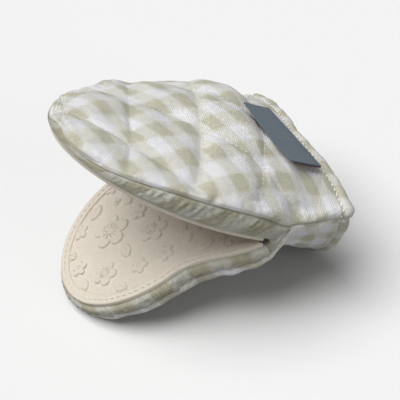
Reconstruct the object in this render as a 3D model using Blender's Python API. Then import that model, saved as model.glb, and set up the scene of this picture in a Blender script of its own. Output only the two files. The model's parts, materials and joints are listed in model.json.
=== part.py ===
"""A pinch mitt: a small padded pot holder that is worn like a puppet.

The hand enters at the cuff, the fingers fill the upper jaw and the thumb fills the lower one. Both jaws
share one palm, which is folded in a V between them, and each has a moulded silicone grip on its face.

The model is worked out in the hinge frame: the fold's axis is Y, +X runs to the cuff, -X to the tips and
+Z is up. A jaw's own coordinates are (s, y, n): s along its palm from the fold to the tip, y across, and
n away from the other jaw. At the end the whole part is moved so that it stands on z = 0 about the origin.
"""
import math

import bmesh
import bpy
import numpy as np
from mathutils import Vector

MM = 0.001
DEG = math.pi / 180

# Grip pads, measured on their palms
GRIP_HALF_WIDTH = 60 * MM
FINGER_GRIP_LENGTH = 100 * MM
FINGER_GRIP_STRAIGHT = 5 * MM
THUMB_GRIP_LENGTH = 101 * MM
THUMB_LOBE_HALF_WIDTH = 43.5 * MM
THUMB_NECK_LENGTH = 47 * MM
GRIP_FROM_FOLD = 1.6 * MM
GRIP_SHEET = 1.6 * MM
GRIP_RIM_WIDTH = 5.5 * MM
GRIP_RIM_RISE = 0.9 * MM
GRIP_EDGE_ROUND = 0.5 * MM
MOTIF_RISE = 0.7 * MM

# How the jaws lie at rest
FINGER_TILT = 28.6 * DEG
FINGER_CURL = 4.6 * DEG
THUMB_TILT = 19.1 * DEG
THUMB_CURL = 17.4 * DEG

# Cloth layers and the gaps between them
CLOTH = 0.8 * MM
LINING = 0.6 * MM
BACK_WADDING = 4.6 * MM
PALM_WADDING = 1.8 * MM
SEWN_WADDING = 1.3 * MM
QUILTED_WADDING = 0.6 * MM
GAP = 0.3 * MM
SEAM_GAP = 0.7 * MM

# Palm trays: cloth that turns up round each grip as a wall
MARGIN = 2.2 * MM
TRAY_CORNER = 1.0 * MM
FINGER_WALL_AT_FOLD = 13.9 * MM
FINGER_WALL_AT_TIP = 8.2 * MM
THUMB_WALL_AT_FOLD = 8.4 * MM
THUMB_WALL = 9.5 * MM
THUMB_WALL_TAPER = 20 * MM

# Back of the fingers, heights over the finger palm
RIDGE_AT_FOLD = 39.5 * MM
RIDGE_MIDWAY = 26 * MM
RIDGE_NEAR_TIP = 17.5 * MM
RIDGE_END_FROM_TIP = 20 * MM
QUILT_DEPTH = 2.6 * MM
QUILT_PITCH = 43 * MM
QUILT_START = 30 * MM
QUILT_ANGLE = 25 * DEG
QUILT_FULLNESS = 0.45
QUILT_SEAM_SHARE = 1 / 7
QUILT_HEM_SHARE = 1 / 8

# Underside of the thumb, depths under the thumb palm
THUMB_DEPTH_AT_FOLD = 30 * MM
THUMB_DEPTH_MIDWAY = 22 * MM
THUMB_DEPTH_NEAR_TIP = 17.5 * MM
THUMB_RIDGE_END_FROM_TIP = 20 * MM
THUMB_TAIL_ANGLE = 16 * DEG
THUMB_TAIL_TUCK = 1.6 * MM

# Cuff, in the hinge frame
CUFF_REACH = 51 * MM
CUFF_HALF_WIDTH = 57 * MM
CUFF_TOP = 11.7 * MM
CUFF_SIDE = -2.2 * MM
CUFF_BOTTOM = -58.5 * MM
CUFF_SHARPNESS = 1.4
JUNCTION_REACH = 14 * MM
JUNCTION_HEIGHT = 5.4 * MM
HEM_LENGTH = 7.5 * MM
HEM_DEPTH = 4.8 * MM
HEM_ROUND = 1.6 * MM
HEM_FILLED = 3.7 * MM
STAND_HEIGHT = 56.5 * MM

# How far the fold opens from the rest pose, and how far its cloth stays clear of what turns
OPENING = 15 * DEG
TAIL_ANGLE_GAP = 5 * DEG

# Heel, which laps over the tail of the thumb cover
HEEL_LIP_ANGLE = 86 * DEG
HEEL_LAP_GAP = 0.9 * MM
HEEL_SPREAD = 0.8 * MM

# Fold between the jaws
FOLD_ANGLE_GAP = 5.5 * DEG

# Label: a woven ribbon folded along its tip side
LABEL_LENGTH = 50 * MM
LABEL_WIDTH = 22 * MM
LABEL_RIBBON = 0.6 * MM
LABEL_FROM_CUFF = 13 * MM
LABEL_TURN = 15 * DEG
LABEL_LIFT = 1.0 * MM
LABEL_SLANT = 4.5 * DEG

# Mesh density: rows along a panel, and steps from its edge to its middle line
FINGER_ROWS, FINGER_STEPS = 21, 11
ARC_ROWS = 60
SNAP_PASSES = 3
THUMB_ROWS, THUMB_STEPS = 11, 8
TAIL_ROWS = 2
TRAY_ROWS = 12
PAD_ROWS = 16
HEEL_LIP_ROWS, HEEL_CUFF_ROWS, HEEL_STEPS = 4, 5, 7
FOLD_SEGMENTS = 7
CHEEK_END_ROWS = 3
FLOWER_POINTS, LEAF_POINTS, BUD_POINTS = 20, 12, 8

# Relief on the grips: kind, place along the pad's length, place across its half width, turn in degrees
FLOWER, LEAF, BUD = "flower", "leaf", "bud"
THUMB_MOTIF_SHARES = [
    (FLOWER, 0.80, 0.10, 10), (FLOWER, 0.52, -0.42, 40), (FLOWER, 0.56, 0.50, 0), (FLOWER, 0.27, 0.12, 20),
    (LEAF, 0.80, -0.48, 35), (LEAF, 0.72, 0.62, 110), (LEAF, 0.63, 0.05, 80), (LEAF, 0.38, 0.55, 150),
    (LEAF, 0.36, -0.36, 60), (LEAF, 0.22, -0.55, 100), (LEAF, 0.20, 0.62, 20), (BUD, 0.66, -0.66, 0),
    (BUD, 0.43, 0.06, 0), (BUD, 0.10, -0.22, 0), (BUD, 0.10, 0.36, 0), (BUD, 0.88, 0.42, 0),
]
FINGER_MOTIF_SHARES = [
    (FLOWER, 0.78, -0.12, 30), (FLOWER, 0.50, 0.46, 0), (FLOWER, 0.46, -0.40, 15), (FLOWER, 0.20, 0.08, 50),
    (LEAF, 0.76, 0.50, 60), (LEAF, 0.72, -0.62, 140), (LEAF, 0.58, 0.02, 100), (LEAF, 0.34, 0.74, 80),
    (LEAF, 0.27, -0.70, 110), (LEAF, 0.14, 0.55, 30), (LEAF, 0.14, -0.40, 160), (BUD, 0.62, -0.78, 0),
    (BUD, 0.36, 0.10, 0), (BUD, 0.64, 0.76, 0), (BUD, 0.90, 0.15, 0), (BUD, 0.07, 0.86, 0),
]
FLOWER_RADIUS = 9.5 * MM
FLOWER_WAIST_SHARE = 0.5
FLOWER_PETALS = 5
LEAF_LENGTH = 12.5 * MM
LEAF_WIDTH = 5.6 * MM
BUD_RADIUS = 2.6 * MM
MOTIF_ROOT = 0.5 * MM

# Slope of an outline's half width at its tip, where it turns square, and the angle that shades as an edge
TIP_SLOPE = -1e6
SHARP_ANGLE = 35 * DEG
EIGHTH_TURN = 45 * DEG


def clear_scene():
    """Removes every object of the opened scene."""
    for found in list(bpy.data.objects):
        bpy.data.objects.remove(found, do_unlink=True)


def make_material(name, color, roughness, metallic=0.0):
    """A Principled material of one colour."""
    material = bpy.data.materials.new(name)
    material.use_nodes = True
    shader = material.node_tree.nodes["Principled BSDF"]
    shader.inputs["Base Color"].default_value = (*color, 1.0)
    shader.inputs["Roughness"].default_value = roughness
    shader.inputs["Metallic"].default_value = metallic
    material.diffuse_color = (*color, 1.0)
    return material


def stack(s, y, n):
    """Joins three coordinates, arrays or plain numbers, in one array of points."""
    return np.stack(np.broadcast_arrays(s, y, n), axis=-1).astype(float)


def smooth_through(at, knots, values):
    """A smooth curve through a few named sizes: cubic pieces whose slopes are their neighbours' mean."""
    knots = np.asarray(knots, float)
    values = np.asarray(values, float)
    slopes = np.gradient(values, knots)
    piece = np.clip(np.searchsorted(knots, at) - 1, 0, len(knots) - 2)
    width = knots[piece + 1] - knots[piece]
    t = np.clip((at - knots[piece]) / width, 0, 1)
    low, high = values[piece], values[piece + 1]
    start, finish = slopes[piece] * width, slopes[piece + 1] * width
    return (low * (2 * t**3 - 3 * t**2 + 1) + start * (t**3 - 2 * t**2 + t)
            + high * (3 * t**2 - 2 * t**3) + finish * (t**3 - t**2))


def spaced(start, end, rows):
    """Places from start to end whose steps shrink towards the end, where the outline turns round."""
    return start + (end - start) * np.sin(np.linspace(0, math.pi / 2, rows + 1))


class Jaw:
    """The bent palm of one jaw: turns (s, y, n) into the hinge frame."""

    def __init__(self, tilt, curl, length, side):
        self.tilt = tilt
        self.rate = curl / length
        self.side = side

    def place(self, points):
        """The palm is straight behind the fold and an arc in front of it; n is square to it."""
        s, y, n = points[..., 0], points[..., 1], points[..., 2]
        turn = self.rate * np.clip(s, 0, None)
        half = turn / 2
        reach = s * np.sinc(half / math.pi)
        x = -reach * np.cos(self.tilt + half) + n * np.sin(self.tilt + turn)
        z = reach * np.sin(self.tilt + half) + n * np.cos(self.tilt + turn)
        return stack(x, y, self.side * z)

    def find(self, x, z):
        """Jaw coordinates (s, n) of a point of the hinge frame that lies behind the fold."""
        z = self.side * z
        return (-x * math.cos(self.tilt) + z * math.sin(self.tilt),
                x * math.sin(self.tilt) + z * math.cos(self.tilt))


FINGER = Jaw(FINGER_TILT, FINGER_CURL, FINGER_GRIP_LENGTH, 1)
THUMB = Jaw(THUMB_TILT, THUMB_CURL, THUMB_GRIP_LENGTH, -1)


def finger_half_width(s, outset):
    """Half width of the upper jaw: straight at the fold, then half an ellipse to the tip."""
    length = FINGER_GRIP_LENGTH + outset - FINGER_GRIP_STRAIGHT
    along = np.clip((s - FINGER_GRIP_STRAIGHT) / length, 0, 1)
    return (GRIP_HALF_WIDTH + outset) * np.sqrt(1 - along**2)


def thumb_half_width(s, outset):
    """Half width of the lower jaw: it narrows smoothly to the lobe, which ends in half an ellipse."""
    t = np.clip(s / THUMB_NECK_LENGTH, 0, 1)
    neck = GRIP_HALF_WIDTH + (THUMB_LOBE_HALF_WIDTH - GRIP_HALF_WIDTH) * (3 * t**2 - 2 * t**3) + outset
    length = THUMB_GRIP_LENGTH + outset - THUMB_NECK_LENGTH
    along = np.clip((s - THUMB_NECK_LENGTH) / length, 0, 1)
    return neck * np.sqrt(1 - along**2)


def finger_seam_height(s):
    """Height of the seam between back and palm, from the cuff past the junction to the tip."""
    cuff_s, cuff_n = FINGER.find(CUFF_REACH - HEM_LENGTH, CUFF_SIDE)
    junction_s, junction_n = FINGER.find(JUNCTION_REACH, JUNCTION_HEIGHT)
    knots = [cuff_s, junction_s, FINGER_WALL_AT_FOLD / 2, FINGER_GRIP_LENGTH + MARGIN]
    return np.interp(s, knots, [cuff_n, junction_n, FINGER_WALL_AT_FOLD, FINGER_WALL_AT_TIP])


def thumb_seam_height(s):
    """Depth of the seam round the lower jaw, a little less beside the fold."""
    return np.interp(s, [0, THUMB_WALL_TAPER], [THUMB_WALL_AT_FOLD, THUMB_WALL])


def dome(seam, ridge, steps, sharpness=1.0):
    """Rows of points from the seam to the ridge, each a quarter of an ellipse.

    seam and ridge hold one point a row. The last row may run along the middle line, from the tip back.
    sharpness is one number, or one a row; over 1 it draws the ridge to a keel.
    """
    angle = np.linspace(math.pi / 2, 0, steps + 1)
    across = np.sin(angle)[None, :]
    rise = np.cos(angle)[None, :] ** np.reshape(sharpness, (-1, 1))
    seam, ridge = seam[:, None, :], ridge[:, None, :]
    along = ridge[..., 0] + (seam[..., 0] - ridge[..., 0]) * across
    side = seam[..., 1] * across
    height = seam[..., 2] + (ridge[..., 2] - seam[..., 2]) * rise
    return stack(along, side, height)


def outward(rows, inside):
    """Unit normals of a grid of rows, away from the point inside. They lie level along the seam."""
    normal = np.cross(np.gradient(rows, axis=0), np.gradient(rows, axis=1))
    normal[:, 0, 2] = 0
    normal[:, -1, 1] = 0
    normal[-1, -1] = normal[-2, -1]
    normal /= np.linalg.norm(normal, axis=-1, keepdims=True)
    facing = np.sign(np.sum(normal * (rows - inside)))
    return normal * facing


def layers_of(rows, inside, wadding, quilt=0.0, closed_tip=True):
    """Outer and inner rows of a cover, its wadding and its lining, laid inside each other.

    The wadding is pressed thin along the seams and at the open end, and it is full at the crown.
    """
    normal = outward(rows, inside)
    reach = open_edge(rows)[1]
    normal[0] -= reach * np.sum(normal[0] * reach, axis=-1, keepdims=True)
    normal[0] /= np.linalg.norm(normal[0], axis=-1, keepdims=True)
    if closed_tip:
        normal[-1, :, 1] = 0
        normal[-1] /= np.linalg.norm(normal[-1], axis=-1, keepdims=True)
    steps = rows.shape[1] - 1
    fullness = np.sin(np.linspace(0, math.pi / 2, steps + 1))[None, :] ** 0.7
    run = np.linspace(0, 1, rows.shape[0])[:, None]
    fullness = fullness * np.clip(run * 4, 0, 1) ** 0.5
    filling = SEWN_WADDING + (wadding - SEWN_WADDING) * fullness
    top = np.minimum(quilt, filling - QUILTED_WADDING)
    depths = {
        "cover": (top, top + CLOTH),
        "wadding": (top + CLOTH + GAP, CLOTH + GAP + filling),
        "lining": (CLOTH + 2 * GAP + filling, CLOTH + 2 * GAP + filling + LINING),
    }
    return {name: tuple(rows - normal * depth[..., None] for depth in pair) for name, pair in depths.items()}


def cut_along(corners, valley):
    """Splits a quad along its deeper diagonal, so a sewn line runs on from row to row."""
    a, b, c, d = corners
    if valley[0] + valley[2] > valley[1] + valley[3]:
        return [(a, b, c), (a, c, d)]
    return [(a, b, d), (b, c, d)]


def sheet_faces(count_rows, count_steps, closed_tip, valley):
    """Vertex numbers and faces of a half grid and its mirror image, which share the middle line.

    Where the tip is closed the last row lies on the middle line too. valley holds the depth of quilting at
    each point, or None where the sheet is plain and keeps its quads.
    """
    near = np.arange(count_rows * count_steps).reshape(count_rows, count_steps)
    shared = np.zeros_like(near, bool)
    shared[:, -1] = True
    if closed_tip:
        shared[-1, :] = True
    far = near.copy()
    far[~shared] = near.size + np.arange(np.count_nonzero(~shared))
    faces = []
    for i in range(count_rows - 1):
        for k in range(count_steps - 1):
            around = [(i, k), (i + 1, k), (i + 1, k + 1), (i, k + 1)]
            for side, way in ((near, 1), (far, -1)):
                ring = around[::way]
                corners = [side[spot] for spot in ring]
                if valley is None:
                    faces.append(tuple(corners))
                else:
                    faces.extend(cut_along(corners, [valley[spot] for spot in ring]))
    return faces, ~shared


def solid_between(name, outer, inner, material, closed_tip=True, valley=None):
    """A closed solid between two half grids in the hinge frame, mirrored and joined round their edge."""
    faces, mirrored = sheet_faces(outer.shape[0], outer.shape[1], closed_tip, valley)
    points = []
    for rows in (outer, inner):
        points.append(rows.reshape(-1, 3))
        points.append(rows[mirrored] * (1, -1, 1))
    total = len(points[0]) + len(points[1])
    edges = {(face[i], face[(i + 1) % len(face)]) for face in faces for i in range(len(face))}
    rim = [(b, a, a + total, b + total) for a, b in sorted(edges) if (b, a) not in edges]
    back = [tuple(corner + total for corner in reversed(face)) for face in faces]
    return solid(name, np.concatenate(points), faces + back + rim, material)


def solid(name, points, faces, material):
    """A closed object from points in the hinge frame and faces, with its faces turned outwards."""
    mesh = bpy.data.meshes.new(name)
    mesh.from_pydata([tuple(point) for point in points], [], [tuple(map(int, face)) for face in faces])
    work = bmesh.new()
    work.from_mesh(mesh)
    bmesh.ops.recalc_face_normals(work, faces=work.faces)
    bmesh.ops.triangulate(work, faces=work.faces)
    if work.calc_volume(signed=True) < 0:
        bmesh.ops.reverse_faces(work, faces=work.faces)
    work.to_mesh(mesh)
    work.free()
    mesh.materials.append(material)
    mesh.shade_smooth()
    mesh.set_sharp_from_angle(angle=SHARP_ANGLE)
    made = bpy.data.objects.new(name, mesh)
    bpy.context.collection.objects.link(made)
    return made


def settle_layers(layers):
    """Presses every layer flat over the standing surface, each at its own depth from the cloth outside."""
    up = stack(0, 0, rest_lift(layers["cover"][0][..., 2]))
    return {name: (outer + up, inner + up) for name, (outer, inner) in layers.items()}


def quilt_phases(s, arc):
    """How many sewn lines of each of the two crossing families lie before a point of the finger back."""
    lean = math.tan(QUILT_ANGLE) * arc
    return (s - QUILT_START - lean) / QUILT_PITCH, (s - QUILT_START + lean) / QUILT_PITCH


def quilt_depth(s, arc):
    """Depth of the quilting: full on the sewn lines, and none in the middle of the puffs between them."""
    one, two = quilt_phases(s, arc)
    return QUILT_DEPTH * (1 - np.abs(np.sin(math.pi * one) * np.sin(math.pi * two)) ** QUILT_FULLNESS)


def to_sewn_line(s, arc):
    """How far a point would move along the jaw to reach the nearest sewn line."""
    one, two = ((np.round(phase) - phase) * QUILT_PITCH for phase in quilt_phases(s, arc))
    return np.where(np.abs(one) < np.abs(two), one, two)


def finger_crown(t):
    """The back of the fingers in jaw coordinates, a point for each t, which is 0 at the hem and 1 at the tip.

    Columns of t go from the seam to the ridge. The steps of a jaw's length shrink towards its tip.
    """
    bend = np.sin(t * math.pi / 2)
    tip = FINGER_GRIP_LENGTH + MARGIN
    cuff_s, _ = FINGER.find(CUFF_REACH - HEM_LENGTH, CUFF_SIDE)
    s = cuff_s + (tip - cuff_s) * bend
    slim = np.clip(s / cuff_s, 0, 1) * (GRIP_HALF_WIDTH + MARGIN - CUFF_HALF_WIDTH)
    seam = stack(s, -(finger_half_width(s, MARGIN) - slim), finger_seam_height(s) + SEAM_GAP / 2)
    top_s, top_n = FINGER.find(CUFF_REACH - HEM_LENGTH, CUFF_TOP + HEM_LENGTH / 2)
    end = tip - RIDGE_END_FROM_TIP
    ridge_s = top_s + (end - top_s) * bend
    knots = [top_s, 0, FINGER_GRIP_LENGTH / 2, end]
    ridge_n = smooth_through(ridge_s, knots, [top_n, RIDGE_AT_FOLD, RIDGE_MIDWAY, RIDGE_NEAR_TIP])
    angle = np.linspace(math.pi / 2, 0, t.shape[1])
    across, rise = np.sin(angle), np.cos(angle)
    return stack(ridge_s + (seam[..., 0] - ridge_s) * across, seam[..., 1] * across,
                 seam[..., 2] + (ridge_n - seam[..., 2]) * rise)


def arc_from_ridge(rows):
    """Distance of every point of a half grid from the ridge, along its row."""
    arc = np.cumsum(np.linalg.norm(np.diff(rows, axis=1), axis=-1)[:, ::-1], axis=1)[:, ::-1]
    return np.concatenate([arc, 0 * arc[:, :1]], axis=1)


def finger_back_rows():
    """The back of the fingers from the hem to the tip, and each point's distance from the ridge.

    Each column's points slide along the jaw, less than half a row, so that those near a sewn line lie on it.
    """
    even = np.linspace(0, 1, ARC_ROWS + 1)
    arcs = arc_from_ridge(finger_crown(np.repeat(even[:, None], FINGER_STEPS + 1, axis=1)))
    t = np.repeat(np.linspace(0, 1, FINGER_ROWS + 1)[:, None], FINGER_STEPS + 1, axis=1)
    home = t.copy()
    room = 1 / (2 * FINGER_ROWS)

    def arc_at(places):
        """Distance from the ridge of each point, read column by column from the even grid."""
        return np.stack([np.interp(column, even, arc) for column, arc in zip(places.T, arcs.T)], axis=1)

    for _ in range(SNAP_PASSES):
        along = finger_crown(t)[..., 0]
        rate = np.gradient(finger_crown(home)[..., 0], home[:, 0], axis=0)
        wanted = t + to_sewn_line(along, arc_at(t)) / np.maximum(np.abs(rate), MM) * np.sign(rate)
        t = np.where(np.abs(wanted - home) < room, wanted, home)
        t[:2], t[-2:] = home[:2], home[-2:]
    return finger_crown(t), arc_at(t)


def rest_lift(height):
    """How far the standing surface presses up a point of the cloth outside that would lie lower."""
    return np.maximum(-STAND_HEIGHT - height, 0)


def open_edge(outside):
    """The edge of a cover beside the hem, and the unit directions in which it runs on into the hem."""
    reach = outside[0] - outside[1]
    return outside[0], reach / np.linalg.norm(reach, axis=-1, keepdims=True)


def hem_run(edge, reach):
    """Directions in which the hem runs on from its edge, raised where it would pass the standing surface."""
    flat = HEM_LENGTH - HEM_ROUND
    return reach + stack(0, 0, rest_lift((edge + reach * flat)[:, 2])) / flat


def into_hem(sides, edge, reach):
    """Lengthens both sides of a wadding by one row, which fills the fold of the hem."""
    ahead = hem_run(edge, reach) * HEM_FILLED
    return tuple(np.concatenate([side[:1] + ahead, side]) for side in sides)


def finger_back(parts, cloth, wadding, lining):
    """Quilted cover, wadding and lining of the finger back."""
    rows, arc = finger_back_rows()
    from_seam = np.linspace(0, 1, rows.shape[1])[None, :] / QUILT_SEAM_SHARE
    from_hem = (np.arange(rows.shape[0])[:, None] - 1) / (FINGER_ROWS * QUILT_HEM_SHARE)
    quilt = quilt_depth(rows[..., 0], arc) * np.minimum(from_seam, 1) * np.clip(from_hem, 0, 1)
    inside = np.array([0, 0, FINGER_WALL_AT_FOLD])
    layers = layers_of(rows, inside, BACK_WADDING, quilt)
    placed = {name: tuple(FINGER.place(side) for side in pair) for name, pair in layers.items()}
    edge, reach = open_edge(placed["cover"][0])
    parts["finger_cover"] = solid_between("finger_cover", *placed["cover"], cloth, valley=quilt)
    filled = into_hem(placed["wadding"], edge, reach)
    valley = np.concatenate([quilt[:1], quilt])
    parts["finger_wadding"] = solid_between("finger_wadding", *filled, wadding, valley=valley)
    parts["finger_lining"] = solid_between("finger_lining", *placed["lining"], lining, valley=quilt)
    return edge, reach


def tray_rows(half_width, wall, start, top_start, length, inset, rise):
    """Rows of a palm tray: down its wall, round its foot and across its floor to the middle line."""
    foot_s = spaced(start, length + MARGIN, TRAY_ROWS)
    top_s = spaced(top_start, length + MARGIN, TRAY_ROWS)
    slope_step = np.gradient(half_width(foot_s, MARGIN), foot_s)
    slope_step[-1] = TIP_SLOPE
    tilt = np.hypot(1, slope_step)

    def ring(s, shift, height):
        """The outline moved in by shift, square to itself, at one height."""
        along = np.maximum(s + shift * slope_step / tilt, s[0])
        side = half_width(s, MARGIN) - shift / tilt
        return stack(along, -np.maximum(side, 0), height)

    base = GRIP_RIM_RISE + GRIP_SHEET + GAP + rise
    top = wall(top_s) - SEAM_GAP / 2
    foot = base + TRAY_CORNER
    middle_end = length + MARGIN - RIDGE_END_FROM_TIP
    middle = stack(spaced(start, middle_end, TRAY_ROWS), 0, base)
    edge = ring(foot_s, inset + TRAY_CORNER, base)
    round_in, round_down = TRAY_CORNER * (1 - math.cos(EIGHTH_TURN)), TRAY_CORNER * math.sin(EIGHTH_TURN)
    rings = [
        ring(top_s, inset, top),
        ring((top_s + foot_s) / 2, inset, (top + foot) / 2),
        ring(foot_s, inset, foot),
        ring(foot_s, inset + round_in, foot - round_down),
        edge,
        (edge + middle) / 2,
        middle,
    ]
    rows = np.stack(rings, axis=1)
    rows[-1, :, 1] = 0
    return rows


def palm_tray(parts, prefix, jaw, shape, cloth, wadding, lining):
    """Cloth, wadding and lining of one palm, nested in each other."""
    wall_layers = [(0, CLOTH), (CLOTH + GAP, CLOTH + GAP + SEWN_WADDING)]
    wall_layers.append((wall_layers[1][1] + GAP, wall_layers[1][1] + GAP + LINING))
    floor_layers = [(0, CLOTH), (CLOTH + GAP, CLOTH + GAP + PALM_WADDING)]
    floor_layers.append((floor_layers[1][1] + GAP, floor_layers[1][1] + GAP + LINING))
    names = ["cloth", "wadding", "lining"]
    for name, walls, floors, material in zip(names, wall_layers, floor_layers, (cloth, wadding, lining)):
        sides = [jaw.place(tray_rows(*shape, inset, rise)) for inset, rise in zip(walls, floors)]
        full = f"{prefix}_palm_{name}"
        parts[full] = solid_between(full, *sides, material)


def thumb_back_rows():
    """The underside of the thumb: a tail turned round the fold's axis, then the lobe out to the tip."""
    tip = THUMB_GRIP_LENGTH + MARGIN
    s = spaced(0, tip, THUMB_ROWS)
    seam = stack(s, -thumb_half_width(s, MARGIN), thumb_seam_height(s) + SEAM_GAP / 2)
    end = tip - THUMB_RIDGE_END_FROM_TIP
    ridge_s = spaced(0, end, THUMB_ROWS)
    knots = [0, THUMB_GRIP_LENGTH / 2, end]
    depth = smooth_through(ridge_s, knots, [THUMB_DEPTH_AT_FOLD, THUMB_DEPTH_MIDWAY, THUMB_DEPTH_NEAR_TIP])
    lobe = dome(seam, stack(ridge_s, 0, depth), THUMB_STEPS)
    tail = []
    for i in range(TAIL_ROWS, 0, -1):
        turn = THUMB_TAIL_ANGLE * i / TAIL_ROWS
        n = lobe[0, :, 2] - THUMB_TAIL_TUCK * i / TAIL_ROWS
        tail.append(stack(-n * math.sin(turn), lobe[0, :, 1], n * math.cos(turn)))
    return np.concatenate([np.array(tail), lobe])


def thumb_back(parts, cloth, wadding, lining):
    """Cover, wadding and lining under the thumb."""
    rows = thumb_back_rows()
    layers = layers_of(rows, np.array([0, 0, THUMB_WALL]), BACK_WADDING)
    placed = {name: tuple(THUMB.place(side) for side in pair) for name, pair in layers.items()}
    placed = settle_layers(placed)
    parts["thumb_cover"] = solid_between("thumb_cover", *placed["cover"], cloth)
    parts["thumb_wadding"] = solid_between("thumb_wadding", *placed["wadding"], wadding)
    parts["thumb_lining"] = solid_between("thumb_lining", *placed["lining"], lining)


def motif_outline(kind):
    """Outline of one relief motif about its own middle, as (along, across) points."""
    count = {FLOWER: FLOWER_POINTS, LEAF: LEAF_POINTS, BUD: BUD_POINTS}[kind]
    angle = np.arange(count) * 2 * math.pi / count
    if kind == FLOWER:
        petal = np.abs(np.cos(angle * FLOWER_PETALS / 2))
        radius = FLOWER_RADIUS * (FLOWER_WAIST_SHARE + (1 - FLOWER_WAIST_SHARE) * petal)
        return np.stack([radius * np.cos(angle), radius * np.sin(angle)], axis=1)
    if kind == LEAF:
        along = LEAF_LENGTH / 2 * np.cos(angle)
        across = LEAF_WIDTH / 2 * np.sin(angle) * np.abs(np.sin(angle)) ** 0.4
        return np.stack([along, across], axis=1)
    return BUD_RADIUS * np.stack([np.cos(angle), np.sin(angle)], axis=1)


def motifs(jaw, half_width, length, shares):
    """All relief motifs of one grip, as prisms that stand on its face and reach into its sheet."""
    points, faces = [], []
    for kind, along_share, across_share, turn in shares:
        outline = motif_outline(kind)
        angle = turn * DEG
        spin = np.array([[math.cos(angle), math.sin(angle)], [-math.sin(angle), math.cos(angle)]])
        outline = outline @ spin
        s = along_share * length
        y = across_share * (half_width(s, 0) - GRIP_RIM_WIDTH)
        start = len(points)
        count = len(outline)
        for height in (GRIP_RIM_RISE - MOTIF_RISE, GRIP_RIM_RISE + MOTIF_ROOT):
            ring = stack(s + outline[:, 0], y + outline[:, 1], height)
            points.extend(jaw.place(ring))
        faces.append(tuple(range(start, start + count)))
        faces.append(tuple(reversed(range(start + count, start + 2 * count))))
        for i in range(count):
            j = (i + 1) % count
            faces.append((start + j, start + i, start + count + i, start + count + j))
    return points, faces


def grip_rows(half_width, length, back):
    """Rows of a grip pad: round its edge and over its raised rim to the face, or plain over its back."""
    s = spaced(GRIP_FROM_FOLD, length, PAD_ROWS)
    slope_step = np.gradient(half_width(s, 0), s)
    slope_step[-1] = TIP_SLOPE
    tilt = np.hypot(1, slope_step)
    sheet_back = GRIP_RIM_RISE + GRIP_SHEET

    def ring(shift, height):
        """The outline moved in by shift at one height; its fold end moves in too."""
        along = np.maximum(s + shift * slope_step / tilt, GRIP_FROM_FOLD)
        side = half_width(s, 0) - shift / tilt
        return stack(along, -np.maximum(side, 0), height)

    profile = [
        (0, GRIP_RIM_RISE),
        (GRIP_EDGE_ROUND, 0),
        (GRIP_RIM_WIDTH - GRIP_RIM_RISE / 2, 0),
        (GRIP_RIM_WIDTH, GRIP_RIM_RISE),
    ]
    rings = [ring(shift, sheet_back if back else height) for shift, height in profile]
    middle = stack(spaced(GRIP_FROM_FOLD, length - RIDGE_END_FROM_TIP, PAD_ROWS), 0,
                   sheet_back if back else GRIP_RIM_RISE)
    rings.append((rings[-1] + middle) / 2)
    rings.append(middle)
    rows = np.stack(rings, axis=1)
    rows[-1, :, 1] = 0
    return rows


def grip(parts, name, jaw, half_width, length, shares, material):
    """A moulded pad: a sheet with a raised rim, and relief motifs joined to its face."""
    face = jaw.place(grip_rows(half_width, length, False))
    back = jaw.place(grip_rows(half_width, length, True))
    pad = solid_between(name, face, back, material)
    relief = solid(name + "_relief", *motifs(jaw, half_width, length, shares), material)
    relief.hide_render = True
    relief.display_type = "WIRE"
    union = pad.modifiers.new("Relief", "BOOLEAN")
    union.operation = "UNION"
    union.solver = "EXACT"
    union.object = relief
    parts[name] = pad
    return relief


def heel_side():
    """The heel's side edge: round the fold over the thumb's tail, up to the junction and on to the cuff."""
    lap = HEEL_LAP_GAP + CLOTH
    lip = THUMB_TILT + HEEL_LIP_ANGLE
    clear = THUMB_TILT + math.pi / 2 + THUMB_TAIL_ANGLE + OPENING + TAIL_ANGLE_GAP
    turns = np.linspace(lip, clear, HEEL_LIP_ROWS - 1)
    radius = THUMB_WALL_AT_FOLD + SEAM_GAP / 2 + lap + HEEL_SPREAD * np.linspace(0, 1, len(turns))
    side_x = list(-radius * np.cos(turns))
    side_z = list(-radius * np.sin(turns))
    side_y = [GRIP_HALF_WIDTH + MARGIN + lap] * len(turns)
    corner_x, corner_z = side_x[-1], side_z[-1]
    wide = GRIP_HALF_WIDTH + MARGIN
    side_x.append((corner_x + JUNCTION_REACH) / 2)
    side_z.append((corner_z + JUNCTION_HEIGHT) / 2)
    side_y.append(wide + lap)
    cuff_x = CUFF_REACH - HEM_LENGTH
    reach = np.linspace(0, 1, HEEL_CUFF_ROWS + 1)
    side_x.extend(JUNCTION_REACH + (cuff_x - JUNCTION_REACH) * reach)
    side_z.extend(JUNCTION_HEIGHT - GAP / 2 + (CUFF_SIDE - JUNCTION_HEIGHT) * reach - GAP / 2)
    side_y.extend(wide + (CUFF_HALF_WIDTH - wide) * reach)
    return stack(np.array(side_x), -np.array(side_y), np.array(side_z))


def heel_rows():
    """The lower panel behind the thumb, from the lip that laps over its tail to the hem."""
    side = heel_side()
    t = np.linspace(0, 1, len(side))
    lip = THUMB_TILT + HEEL_LIP_ANGLE
    depth = THUMB_DEPTH_AT_FOLD + HEEL_LAP_GAP + CLOTH
    cuff_x = CUFF_REACH - HEM_LENGTH
    lip_x, lip_z = -depth * math.cos(lip), -depth * math.sin(lip)
    bottom_z = CUFF_BOTTOM + HEM_LENGTH / 2
    bottom = stack(lip_x + (cuff_x - lip_x) * t, 0, lip_z + (bottom_z - lip_z) * t)
    return dome(side, bottom, HEEL_STEPS, 1 + (CUFF_SHARPNESS - 1) * t)


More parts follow.
